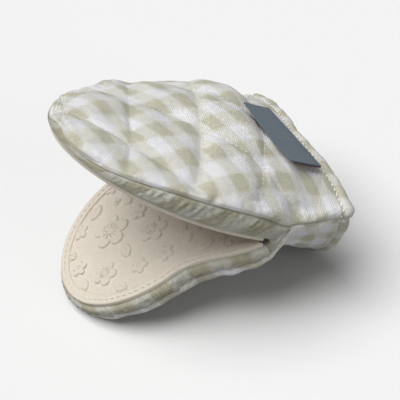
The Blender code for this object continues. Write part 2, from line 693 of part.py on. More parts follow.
def heel(parts, cloth, wadding, lining):
    """Cover, wadding and lining of the heel. The lip is cloth alone, so the thumb's tail can slide in."""
    rows = heel_rows()
    inside = np.array([CUFF_REACH / 2, 0, CUFF_SIDE])
    turned = rows[::-1]
    layers = layers_of(turned, inside, BACK_WADDING, closed_tip=False)
    layers = settle_layers(layers)
    edge, reach = open_edge(layers["cover"][0])
    parts["heel_cover"] = solid_between("heel_cover", *layers["cover"], cloth, closed_tip=False)
    filled = into_hem([side[:HEEL_CUFF_ROWS] for side in layers["wadding"]], edge, reach)
    parts["heel_wadding"] = solid_between("heel_wadding", *filled, wadding, closed_tip=False)
    thin = tuple(side[:HEEL_CUFF_ROWS] for side in layers["lining"])
    parts["heel_lining"] = solid_between("heel_lining", *thin, lining, closed_tip=False)
    return edge, reach


def hem(parts, upper, lower, cloth):
    """The turned hem: a ring of folded cloth round the hand opening, U-shaped in section."""
    path, ahead, inward = [], [], []
    for (edge, reach), flip in ((upper, 1), (lower, -1)):
        normal = np.cross(reach, np.gradient(edge, axis=0))
        normal[-1, 1] = 0
        normal[0, 2] = 0
        normal /= np.linalg.norm(normal, axis=-1, keepdims=True)
        centre = np.array([edge[0, 0], 0, CUFF_SIDE])
        normal *= -np.sign(np.sum(normal * (edge - centre)))
        near = [edge, hem_run(edge, reach), normal]
        half = [np.concatenate([part, (part * (1, -1, 1))[-2::-1]]) for part in near]
        if flip < 0:
            half = [part[::-1][1:-1] for part in half]
        path.append(half[0])
        ahead.append(half[1])
        inward.append(half[2])
    path, ahead, inward = (np.concatenate(part) for part in (path, ahead, inward))
    bend = HEM_ROUND * (1 - math.cos(EIGHTH_TURN))
    leaf = CLOTH
    section = [
        (GAP, 0), (HEM_LENGTH - HEM_ROUND, 0), (HEM_LENGTH - bend, bend), (HEM_LENGTH, HEM_ROUND),
        (HEM_LENGTH, HEM_DEPTH - HEM_ROUND), (HEM_LENGTH - bend, HEM_DEPTH - bend),
        (HEM_LENGTH - HEM_ROUND, HEM_DEPTH), (GAP, HEM_DEPTH),
        (GAP, HEM_DEPTH - leaf), (HEM_LENGTH - HEM_ROUND, HEM_DEPTH - leaf),
        (HEM_LENGTH - leaf, HEM_DEPTH - HEM_ROUND), (HEM_LENGTH - leaf, HEM_ROUND),
        (HEM_LENGTH - HEM_ROUND, leaf), (GAP, leaf),
    ]
    rings = np.stack([path + ahead * a + inward * d for a, d in section], axis=1)
    count, size = rings.shape[:2]
    faces = []
    for i in range(count):
        j = (i + 1) % count
        for k in range(size):
            m = (k + 1) % size
            faces.append((i * size + k, j * size + k, j * size + m, i * size + m))
    parts["cuff_hem"] = solid("cuff_hem", rings.reshape(-1, 3), faces, cloth)


def fold_angles():
    """Where the fold starts and ends, measured round its axis from -X over -Z."""
    start = THUMB_TILT + math.pi / 2 + OPENING + FOLD_ANGLE_GAP
    return start, 3 * math.pi / 2 - FINGER_TILT - FOLD_ANGLE_GAP


def around_fold(angle, radius):
    """Points (x, z) round the fold's axis."""
    return -radius * np.cos(angle), -radius * np.sin(angle)


def fold_cloth_rows(inset):
    """One side of the palm cloth where it turns round the fold, with a cheek that closes the mitt's side.

    The cheek's upper edge follows the heel to the junction, and then the end of the finger palm's wall.
    """
    start, end = fold_angles()
    floor = GRIP_RIM_RISE + GRIP_SHEET + GAP + inset
    foot = floor + TRAY_CORNER
    edge = heel_side()[:HEEL_LIP_ROWS + 1]
    reach = np.hypot(edge[:, 0], edge[:, 2])
    top_x = edge[:, 0] * (1 - SEAM_GAP / reach)
    top_z = edge[:, 2] * (1 - SEAM_GAP / reach)
    end_x, end_z = around_fold(end, foot + GAP)
    onward = np.linspace(0, 1, CHEEK_END_ROWS + 1)[1:]
    top_x = np.concatenate([top_x, top_x[-1] + (end_x - top_x[-1]) * onward])
    top_z = np.concatenate([top_z, top_z[-1] + (end_z - top_z[-1]) * onward])
    angle = np.linspace(start, end, len(top_x))
    side = -(GRIP_HALF_WIDTH + MARGIN + GAP + CLOTH - inset)
    foot_x, foot_z = around_fold(angle, foot)
    floor_x, floor_z = around_fold(angle, floor)
    top = stack(top_x, side, top_z)
    low = stack(foot_x, side, foot_z)
    corner = stack(floor_x, side + TRAY_CORNER, floor_z)
    return np.stack([top, (top + low) / 2, low, corner, stack(floor_x, 0, floor_z)], axis=1)


def fold_strip_rows(depth):
    """One side of a plain strip round the fold, as wide as the finger pocket."""
    angle = np.linspace(*fold_angles(), FOLD_SEGMENTS + 1)
    x, z = around_fold(angle, GRIP_RIM_RISE + GRIP_SHEET + GAP + depth)
    half = GRIP_HALF_WIDTH + MARGIN - CLOTH - SEWN_WADDING - LINING - 3 * GAP
    return np.stack([stack(x, -half, z), stack(x, 0, z)], axis=1)


def fold(parts, cloth, wadding, lining):
    """Palm cloth, wadding and lining where they turn from the upper jaw to the lower one."""
    sides = [fold_cloth_rows(inset) for inset in (0, CLOTH)]
    parts["fold_cloth"] = solid_between("fold_cloth", *sides, cloth, closed_tip=False)
    padded = CLOTH + GAP + PALM_WADDING
    sides = [fold_strip_rows(depth) for depth in (CLOTH + GAP, padded)]
    parts["fold_wadding"] = solid_between("fold_wadding", *sides, wadding, closed_tip=False)
    sides = [fold_strip_rows(depth) for depth in (padded + GAP, padded + GAP + LINING)]
    parts["fold_lining"] = solid_between("fold_lining", *sides, lining, closed_tip=False)


def label(parts, upper, material):
    """A folded ribbon beside the hem. Its object stands at the sewn edge, about which it lifts."""
    edge, reach = upper
    along = np.concatenate([edge, (edge * (1, -1, 1))[-2::-1]])
    step = np.linalg.norm(np.diff(along, axis=0), axis=1)
    travelled = np.concatenate([[0], np.cumsum(step)])
    middle = travelled[-1] / 2
    radius = middle / (math.pi / 2)
    at = middle - LABEL_TURN * radius
    tangent_at = [at - LABEL_LENGTH / 4, at, at + LABEL_LENGTH / 4]
    spots = np.array([[np.interp(t, travelled, along[:, axis]) for axis in range(3)] for t in tangent_at])
    run = Vector(spots[2] - spots[0]).normalized()
    forward = np.concatenate([reach, (reach * (1, -1, 1))[-2::-1]])
    ahead = Vector([np.interp(at, travelled, forward[:, axis]) for axis in range(3)])
    ahead = (ahead - run * ahead.dot(run)).normalized()
    out = run.cross(ahead)
    if out.z < 0:
        out = -out
    seat = Vector(spots[1]) + out * LABEL_LIFT - ahead * (LABEL_FROM_CUFF - HEM_LENGTH)
    slant = math.tan(LABEL_SLANT)
    run, ahead = (run - ahead * slant).normalized(), (ahead + run * slant).normalized()
    ribbon, width = LABEL_RIBBON, LABEL_WIDTH
    slit = GAP
    thick = 2 * ribbon + slit
    section = [
        (0, 0), (width - ribbon, 0), (width, thick / 2), (width - ribbon, thick), (0, thick),
        (0, ribbon + slit), (width - 2 * ribbon, ribbon + slit), (width - 2 * ribbon, ribbon), (0, ribbon),
    ]
    points, faces = [], []
    for end in (-LABEL_LENGTH / 2, LABEL_LENGTH / 2):
        points.extend(run * end - ahead * a + out * h for a, h in section)
    size = len(section)
    faces.append(tuple(range(size)))
    faces.append(tuple(reversed(range(size, 2 * size))))
    for k in range(size):
        m = (k + 1) % size
        faces.append((k, m, size + m, size + k))
    made = solid("label", points, faces, material)
    made.location = seat
    parts["label"] = made
    return seat, run


def main():
    """Builds every piece in the hinge frame, then stands the mitt on z = 0 about the origin."""
    clear_scene()
    gingham = make_material("gingham_cotton", (0.62, 0.62, 0.52), 0.9)
    palm = make_material("palm_cotton", (0.60, 0.60, 0.50), 0.9)
    lining = make_material("lining_cotton", (0.80, 0.78, 0.72), 0.92)
    wadding = make_material("wadding", (0.88, 0.88, 0.86), 0.95)
    silicone = make_material("silicone", (0.62, 0.53, 0.43), 0.55)
    ribbon = make_material("woven_ribbon", (0.07, 0.10, 0.14), 0.8)

    parts = {}
    upper = finger_back(parts, gingham, wadding, lining)
    lower = heel(parts, gingham, wadding, lining)
    hem(parts, upper, lower, gingham)
    thumb_back(parts, gingham, wadding, lining)
    junction_s, _ = FINGER.find(JUNCTION_REACH, JUNCTION_HEIGHT)
    finger_shape = (finger_half_width, finger_seam_height, 0, junction_s, FINGER_GRIP_LENGTH)
    thumb_shape = (thumb_half_width, thumb_seam_height, 0, 0, THUMB_GRIP_LENGTH)
    palm_tray(parts, "finger", FINGER, finger_shape, palm, wadding, lining)
    palm_tray(parts, "thumb", THUMB, thumb_shape, palm, wadding, lining)
    fold(parts, palm, wadding, lining)
    finger_pad = (FINGER, finger_half_width, FINGER_GRIP_LENGTH, FINGER_MOTIF_SHARES)
    thumb_pad = (THUMB, thumb_half_width, THUMB_GRIP_LENGTH, THUMB_MOTIF_SHARES)
    reliefs = [
        grip(parts, "finger_grip", *finger_pad, silicone),
        grip(parts, "thumb_grip", *thumb_pad, silicone),
    ]
    label_seat, label_run = label(parts, upper, ribbon)

    bpy.context.view_layer.update()
    corners = np.array([
        part.matrix_world @ vertex.co for part in parts.values() for vertex in part.data.vertices
    ])
    shift = Vector((-(corners[:, 0].min() + corners[:, 0].max()) / 2, 0, -corners[:, 2].min()))
    stand = bpy.data.objects.new("stand", None)
    hinge = bpy.data.objects.new("thumb_hinge", None)
    for empty in (stand, hinge):
        bpy.context.collection.objects.link(empty)
    stand.location = shift
    hinge.parent = stand
    for name, part in parts.items():
        part.parent = hinge if name.startswith("thumb") else stand
    for relief in reliefs:
        relief.parent = hinge if relief.name.startswith("thumb") else stand
    bpy.context.view_layer.update()
    print("hinge axis at", [round(v, 6) for v in shift], "along Y")
    print("label edge at", [round(v, 6) for v in shift + label_seat])
    print("label edge along", [round(v, 6) for v in label_run])


main()
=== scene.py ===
"""Looks of a pinch mitt: a small padded pot holder that is worn like a puppet.

Every piece is worked out in the hinge frame, where the fold's axis is Y, +X runs to the cuff, -X to the tips
and +Z is up. A jaw's own coordinates are (s, y, n): s along its palm from the fold to the tip, y across, and
n away from the other jaw. Each finished grid is moved once into the row frame, by the hinge's place there.
"""
from __future__ import annotations

import json
import logging
import math
from dataclasses import dataclass, field
from enum import Enum
from typing import Callable, Sequence

import bmesh
import bpy
import numpy as np
from mathutils import Matrix, Vector

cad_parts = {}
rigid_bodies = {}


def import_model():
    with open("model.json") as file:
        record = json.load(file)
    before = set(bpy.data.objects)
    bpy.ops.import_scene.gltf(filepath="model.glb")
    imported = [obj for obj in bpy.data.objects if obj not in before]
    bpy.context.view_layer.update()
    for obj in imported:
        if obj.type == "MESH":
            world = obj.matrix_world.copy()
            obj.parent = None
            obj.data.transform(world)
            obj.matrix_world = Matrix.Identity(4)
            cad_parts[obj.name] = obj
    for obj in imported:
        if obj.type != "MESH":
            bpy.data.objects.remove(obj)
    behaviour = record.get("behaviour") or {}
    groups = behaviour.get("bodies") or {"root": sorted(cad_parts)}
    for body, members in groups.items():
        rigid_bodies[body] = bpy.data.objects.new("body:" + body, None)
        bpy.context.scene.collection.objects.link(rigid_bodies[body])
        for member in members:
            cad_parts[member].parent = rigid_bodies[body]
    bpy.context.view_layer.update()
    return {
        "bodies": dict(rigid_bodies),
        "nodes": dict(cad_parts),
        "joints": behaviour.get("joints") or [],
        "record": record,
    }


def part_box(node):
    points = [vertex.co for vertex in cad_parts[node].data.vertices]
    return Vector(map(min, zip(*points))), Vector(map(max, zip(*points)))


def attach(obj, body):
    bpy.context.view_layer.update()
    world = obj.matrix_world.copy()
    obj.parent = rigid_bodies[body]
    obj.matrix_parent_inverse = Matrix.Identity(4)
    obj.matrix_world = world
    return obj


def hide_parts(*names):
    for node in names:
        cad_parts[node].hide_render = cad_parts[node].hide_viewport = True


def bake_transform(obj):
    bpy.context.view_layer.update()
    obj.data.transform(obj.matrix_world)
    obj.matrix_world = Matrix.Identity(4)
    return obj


LOG = logging.getLogger("mitt")
MM = 0.001
DEG = math.pi / 180
CHECK_PERIOD = 17 * MM


class Body(Enum):
    """The bodies that pieces ride on."""

    FINGERS = "finger_jaw"
    THUMB = "thumb_jaw"
    LABEL = "label_flap"


class Slot(Enum):
    """The record's material slots."""

    GINGHAM = "gingham_cotton"
    PALM = "palm_cotton"
    LINING = "lining_cotton"
    WADDING = "wadding"
    SILICONE = "silicone"
    RIBBON = "woven_ribbon"


def stack(x: np.ndarray | float, y: np.ndarray | float, z: np.ndarray | float) -> np.ndarray:
    """Three coordinates, arrays or numbers, joined in one array of points."""
    return np.stack(np.broadcast_arrays(x, y, z), axis=-1).astype(float)


def ease(t: np.ndarray | float) -> np.ndarray:
    """A smooth step from 0 to 1: 3 t squared minus 2 t cubed, held at both ends."""
    t = np.clip(t, 0, 1)
    return t * t * (3 - 2 * t)


def spaced(start: float, end: float, count: int) -> np.ndarray:
    """Places from start to end whose steps shrink towards the end, where an outline turns round."""
    return start + (end - start) * np.sin(np.linspace(0, math.pi / 2, count))


def unit(v: np.ndarray) -> np.ndarray:
    """Vectors scaled to a length of 1."""
    return v / np.maximum(np.linalg.norm(v, axis=-1, keepdims=True), 1e-12)


def smooth_through(at: np.ndarray, knots: Sequence[float], values: Sequence[float]) -> np.ndarray:
    """A smooth curve through a few named sizes.

    Args:
        at: places to work out.
        knots: places of the named sizes, rising.
        values: the sizes there.

    Returns:
        Cubic pieces whose slopes at the knots are the mean of their neighbours' slopes.
    """
    knots, values = np.asarray(knots, float), np.asarray(values, float)
    slopes = np.gradient(values, knots)
    piece = np.clip(np.searchsorted(knots, at) - 1, 0, len(knots) - 2)
    width = knots[piece + 1] - knots[piece]
    t = np.clip((at - knots[piece]) / width, 0, 1)
    start, finish = slopes[piece] * width, slopes[piece + 1] * width
    return (values[piece] * (2 * t**3 - 3 * t**2 + 1) + start * (t**3 - 2 * t**2 + t)
            + values[piece + 1] * (3 * t**2 - 2 * t**3) + finish * (t**3 - t**2))


def resample(grid: np.ndarray, rows: int, columns: int) -> np.ndarray:
    """A grid worked out again at another density, by cubic pieces first down its rows and then across."""
    for axis, count in ((0, rows), (1, columns)):
        moved = np.moveaxis(grid, axis, 0)
        at = np.linspace(0, len(moved) - 1, count)
        low = np.clip(at.astype(int), 0, len(moved) - 2)
        t = (at - low).reshape((-1,) + (1,) * (moved.ndim - 1))
        slope = np.gradient(moved, axis=0)
        grid = np.moveaxis(moved[low] * (2 * t**3 - 3 * t**2 + 1) + slope[low] * (t**3 - 2 * t**2 + t)
                           + moved[low + 1] * (3 * t**2 - 2 * t**3) + slope[low + 1] * (t**3 - t**2), 0, axis)
    return grid


def soft_noise(u: np.ndarray, v: np.ndarray, size: float, seed: int, waves: int = 28) -> np.ndarray:
    """Smooth unevenness over a surface.

    Args:
        u, v: places on the surface, in metres.
        size: the usual distance from one hump to the next.
        seed: chooses the pattern.
        waves: how many waves are added.

    Returns:
        The sum of cosine waves of random directions and phases, with lengths near size, scaled to about -1 to 1.
    """
    draw = np.random.default_rng(seed)
    turn, phase = draw.uniform(0, math.pi, waves), draw.uniform(0, 2 * math.pi, waves)
    rate = 2 * math.pi / (size * draw.uniform(0.7, 1.6, waves))
    total = np.zeros(np.broadcast(u, v).shape)
    for angle, shift, step in zip(turn, phase, rate):
        total += np.cos((u * math.cos(angle) + v * math.sin(angle)) * step + shift)
    return total / math.sqrt(waves)


def outward(grid: np.ndarray, inside: np.ndarray) -> np.ndarray:
    """Unit normals of a grid of points, turned away from the point inside."""
    normal = np.cross(np.gradient(grid, axis=0), np.gradient(grid, axis=1))
    weak = np.linalg.norm(normal, axis=-1) < 1e-13
    normal[weak] = np.roll(normal, 1, axis=0)[weak]
    normal = unit(normal)
    return normal * np.sign(np.sum(normal * (grid - inside)))


def across_arc(grid: np.ndarray) -> np.ndarray:
    """Signed distance along each row of a grid from its middle column."""
    step = np.linalg.norm(np.diff(grid, axis=1), axis=-1)
    run = np.concatenate([np.zeros((len(grid), 1)), np.cumsum(step, axis=1)], axis=1)
    return run - run[:, grid.shape[1] // 2][:, None]


def link(name: str, mesh: bpy.types.Mesh) -> bpy.types.Object:
    """A mesh as an object of the scene, at the origin."""
    made = bpy.data.objects.new(name, mesh)
    bpy.context.collection.objects.link(made)
    return made


def quads(rows: int, columns: int, around: bool = False) -> np.ndarray:
    """Corner numbers of the quads of a grid, closed round its columns where around is set."""
    index = np.arange(rows * columns).reshape(rows, columns)
    if around:
        index = np.concatenate([index, index[:, :1]], axis=1)
    return np.stack([index[:-1, :-1], index[1:, :-1], index[1:, 1:], index[:-1, 1:]], axis=-1).reshape(-1, 4)


def surface(name: str, grid: np.ndarray, inside: np.ndarray, cloth: np.ndarray | None = None,
            checks: np.ndarray | None = None, merge: float = 1e-6) -> bpy.types.Object:
    """A smooth surface from a grid of points in the row frame.

    Args:
        name: the piece's name.
        grid: points, rows by columns by 3.
        inside: a point that the faces turn away from.
        cloth: flat coordinates of every point in metres, which the weave follows.
        checks: the same in periods of the check pattern, where they aren't plain multiples of cloth.
        merge: points closer than this become one. At 0 every point is kept.

    Returns:
        The new object.
    """
    rows, columns = grid.shape[:2]
    faces = quads(rows, columns)
    corners = grid.reshape(-1, 3)[faces]
    facing = np.cross(corners[:, 2] - corners[:, 0], corners[:, 3] - corners[:, 1])
    if np.sum(facing * (corners.mean(axis=1) - inside)) < 0:
        faces = faces[:, ::-1]
    mesh = bpy.data.meshes.new(name)
    mesh.from_pydata(grid.reshape(-1, 3).tolist(), [], faces.tolist())
    if cloth is not None:
        for word, flat in (("cloth", cloth), ("checks", cloth / CHECK_PERIOD if checks is None else checks)):
            layer = mesh.uv_layers.new(name=word)
            layer.data.foreach_set("uv", flat.reshape(-1, 2)[faces.reshape(-1)].astype(np.float32).ravel())
    if merge:
        work = bmesh.new()
        work.from_mesh(mesh)
        bmesh.ops.remove_doubles(work, verts=work.verts, dist=merge)
        work.to_mesh(mesh)
        work.free()
    mesh.shade_smooth()
    return link(name, mesh)


def shell(name: str, outer: np.ndarray, inner: np.ndarray) -> bpy.types.Object:
    """A closed layer between two grids of the same density, joined round their edges."""
    rows, columns = outer.shape[:2]
    faces = quads(rows, columns)
    total = rows * columns
    index = np.arange(total).reshape(rows, columns)
    rim = np.concatenate([index[0], index[1:, -1], index[-1, -2::-1], index[-2:0:-1, 0]])
    after = np.roll(rim, -1)
    wall = np.stack([rim, after, after + total, rim + total], axis=-1)
    mesh = bpy.data.meshes.new(name)
    points = np.concatenate([outer.reshape(-1, 3), inner.reshape(-1, 3)])
    mesh.from_pydata(points.tolist(), [], np.concatenate([faces, faces[:, ::-1] + total, wall]).tolist())
    work = bmesh.new()
    work.from_mesh(mesh)
    bmesh.ops.remove_doubles(work, verts=work.verts, dist=1e-6)
    bmesh.ops.recalc_face_normals(work, faces=work.faces)
    work.to_mesh(mesh)
    work.free()
    mesh.shade_smooth()
    return link(name, mesh)


def lay_flat(piece: bpy.types.Object, first: int) -> None:
    """Cloth coordinates for a layer inside the mitt: two of its three coordinates, from the first named on."""
    mesh = piece.data
    corner = np.empty(len(mesh.loops), int)
    mesh.loops.foreach_get("vertex_index", corner)
    place = np.empty(len(mesh.vertices) * 3)
    mesh.vertices.foreach_get("co", place)
    flat = place.reshape(-1, 3)[corner][:, first:first + 2]
    mesh.uv_layers.new(name="cloth").data.foreach_set("uv", flat.astype(np.float32).ravel())


def thicken(piece: bpy.types.Object, thickness: float) -> None:
    """Gives a surface a wall, inwards from its outer side."""
    wall = piece.modifiers.new("Wall", "SOLIDIFY")
    wall.thickness = thickness
    wall.offset = -1
    wall.use_rim = True


def stitch_run(name: str, path: np.ndarray, normal: np.ndarray, pitch: float, length: float,
               radius: float, rise: float) -> bpy.types.Object:
    """Running stitches of thread along a path on a surface.

    Each stitch is a small tube along the path. Its middle line rises over the cloth by a half sine wave and
    dips into it at both ends, where the tube also narrows.

    Args:
        name: the piece's name.
        path: points on the surface, in order.
        normal: the surface's unit normals there.
        pitch: distance from the start of one stitch to the next.
        length: the part of that distance that shows as thread.
        radius: the thread's radius.
        rise: how high the middle of a stitch stands over the surface.

    Returns:
        One object with all the stitches.
    """
    step = np.linalg.norm(np.diff(path, axis=0), axis=1)
    run = np.concatenate([[0], np.cumsum(step)])
    count = max(int(run[-1] / pitch), 1)
    sections, sides = 7, 6
    share = np.linspace(0, 1, sections)
    at = (np.arange(count)[:, None] + 0.5 * (1 - length / pitch)) * pitch + share[None, :] * length
    spot = np.stack([np.interp(at, run, path[:, k]) for k in range(3)], axis=-1)
    up = unit(np.stack([np.interp(at, run, normal[:, k]) for k in range(3)], axis=-1))
    along = unit(np.gradient(spot, axis=1))
    across = unit(np.cross(along, up))
    arch = np.sin(share * math.pi)[None, :, None]
    spot = spot + up * (rise * arch - radius * (1 - arch) * 0.8)
    turn = np.arange(sides) * 2 * math.pi / sides
    girth = radius * (0.45 + 0.55 * arch[..., None] ** 0.5)
    ring = spot[:, :, None] + girth * (np.cos(turn)[None, None, :, None] * up[:, :, None]
                                      + np.sin(turn)[None, None, :, None] * across[:, :, None])
    one = quads(sections, sides, around=True)
    size = sections * sides
    faces = (one[None] + np.arange(count)[:, None, None] * size).reshape(-1, 4)
    mesh = bpy.data.meshes.new(name)
    mesh.from_pydata(ring.reshape(-1, 3).tolist(), [], faces.tolist())
    work = bmesh.new()
    work.from_mesh(mesh)
    bmesh.ops.holes_fill(work, edges=work.edges)
    bmesh.ops.recalc_face_normals(work, faces=work.faces)
    work.to_mesh(mesh)
    work.free()
    mesh.shade_smooth()
    return link(name, mesh)


def inflate(grid: np.ndarray, held: np.ndarray, pressure: float, cap: float, frames: int = 18) -> np.ndarray:
    """Blows a sewn sheet up with Blender's cloth simulation.

    Args:
        grid: the sheet at rest, rows by columns by 3, in metres.
        held: how firmly each point is sewn down, 0 to 1.
        pressure: the padding's push outwards.
        cap: the furthest that any point may move.
        frames: how long the simulation runs.

    Returns:
        The grid after the simulation.
    """
    inside = grid.reshape(-1, 3).mean(axis=0) - np.array([0, 0, 0.03])
    sheet = surface("cloth_trial", grid, inside, merge=0)
    group = sheet.vertex_groups.new(name="sewn")
    for number, weight in enumerate(held.ravel().tolist()):
        if weight > 0.01:
            group.add([number], weight, "REPLACE")
    cloth = sheet.modifiers.new("Cloth", "CLOTH")
    cloth.settings.quality = 6
    cloth.settings.mass = 0.05
    cloth.settings.tension_stiffness = 12
    cloth.settings.compression_stiffness = 12
    cloth.settings.shear_stiffness = 4
    cloth.settings.bending_stiffness = 0.05
    cloth.settings.air_damping = 2
    cloth.settings.vertex_group_mass = "sewn"
    cloth.settings.pin_stiffness = 1
    cloth.settings.use_pressure = True
    cloth.settings.uniform_pressure_force = pressure
    cloth.settings.effector_weights.gravity = 0
    cloth.collision_settings.use_collision = False
    cloth.point_cache.frame_start, cloth.point_cache.frame_end = 1, frames
    scene = bpy.context.scene
    for frame in range(1, frames + 1):
        scene.frame_set(frame)
    shown = sheet.evaluated_get(bpy.context.evaluated_depsgraph_get()).to_mesh()
    moved = np.empty(len(shown.vertices) * 3)
    shown.vertices.foreach_get("co", moved)
    moved = moved.reshape(grid.shape) - grid
    scene.frame_set(1)
    bpy.data.objects.remove(sheet, do_unlink=True)
    reach = np.linalg.norm(moved, axis=-1, keepdims=True)
    LOG.info("cloth moved by %.2f mm at most", reach.max() / MM)
    return grid + moved * np.minimum(1, cap / np.maximum(reach, 1e-9))


def new_group(name: str, inputs: Sequence[tuple[str, str, float | tuple]], outputs: Sequence[tuple[str, str]]):
    """A shader node group with named sockets.

    Args:
        name: the group's name.
        inputs: name, kind and starting value of each input.
        outputs: name and kind of each output.

    Returns:
        The group, its input node and its output node.
    """
    group = bpy.data.node_groups.new(name, "ShaderNodeTree")
    for label, kind, value in inputs:
        socket = group.interface.new_socket(label, in_out="INPUT", socket_type=f"NodeSocket{kind}")
        if kind != "Vector":
            socket.default_value = value
    for label, kind in outputs:
        group.interface.new_socket(label, in_out="OUTPUT", socket_type=f"NodeSocket{kind}")
    return group, group.nodes.new("NodeGroupInput"), group.nodes.new("NodeGroupOutput")


@dataclass
class Wiring:
    """Short ways to add nodes to a material or a group."""

    tree: bpy.types.NodeTree

    def node(self, kind: str, **settings) -> bpy.types.Node:
        """A new node with some of its settings."""
        made = self.tree.nodes.new(kind)
        for name, value in settings.items():
            setattr(made, name, value)
        return made

    def feed(self, source, target) -> None:
        """Links an output to an input, or writes a plain value into it."""
        if isinstance(source, bpy.types.NodeSocket):
            self.tree.links.new(source, target)
        else:
            target.default_value = source

    def math(self, operation: str, a, b=0.0, c=0.0):
        """One step of arithmetic on numbers."""
        made = self.node("ShaderNodeMath", operation=operation)
        for number, value in enumerate((a, b, c)):
            self.feed(value, made.inputs[number])
        return made.outputs[0]

    def ramp(self, value, low: float, high: float, to_low: float = 0.0, to_high: float = 1.0):
        """A value moved smoothly from one range into another."""
        made = self.node("ShaderNodeMapRange", interpolation_type="SMOOTHSTEP")
        for number, source in enumerate((value, low, high, to_low, to_high)):
            self.feed(source, made.inputs[number])
        return made.outputs[0]

    def mix(self, share, a, b, blend: str = "MIX"):
        """Two colours mixed."""
        made = self.node("ShaderNodeMix", data_type="RGBA", blend_type=blend)
        self.feed(share, made.inputs[0])
        self.feed(a, made.inputs[6])
        self.feed(b, made.inputs[7])
        return made.outputs[2]

    def noise(self, vector, scale: float, detail: float = 3.0, roughness: float = 0.55):
        """Blender's noise on a vector, as a number near 0.5."""
        made = self.node("ShaderNodeTexNoise")
        self.feed(vector, made.inputs["Vector"])
        made.inputs["Scale"].default_value = scale
        made.inputs["Detail"].default_value = detail
        made.inputs["Roughness"].default_value = roughness
        return made.outputs["Fac"]

    def group(self, tree: bpy.types.NodeTree, **values) -> bpy.types.Node:
        """A group placed here with its own values. An underscore in a name stands for a space."""
        made = self.node("ShaderNodeGroup", node_tree=tree)
        for name, value in values.items():
            self.feed(value, made.inputs[name.replace("_", " ")])
        return made


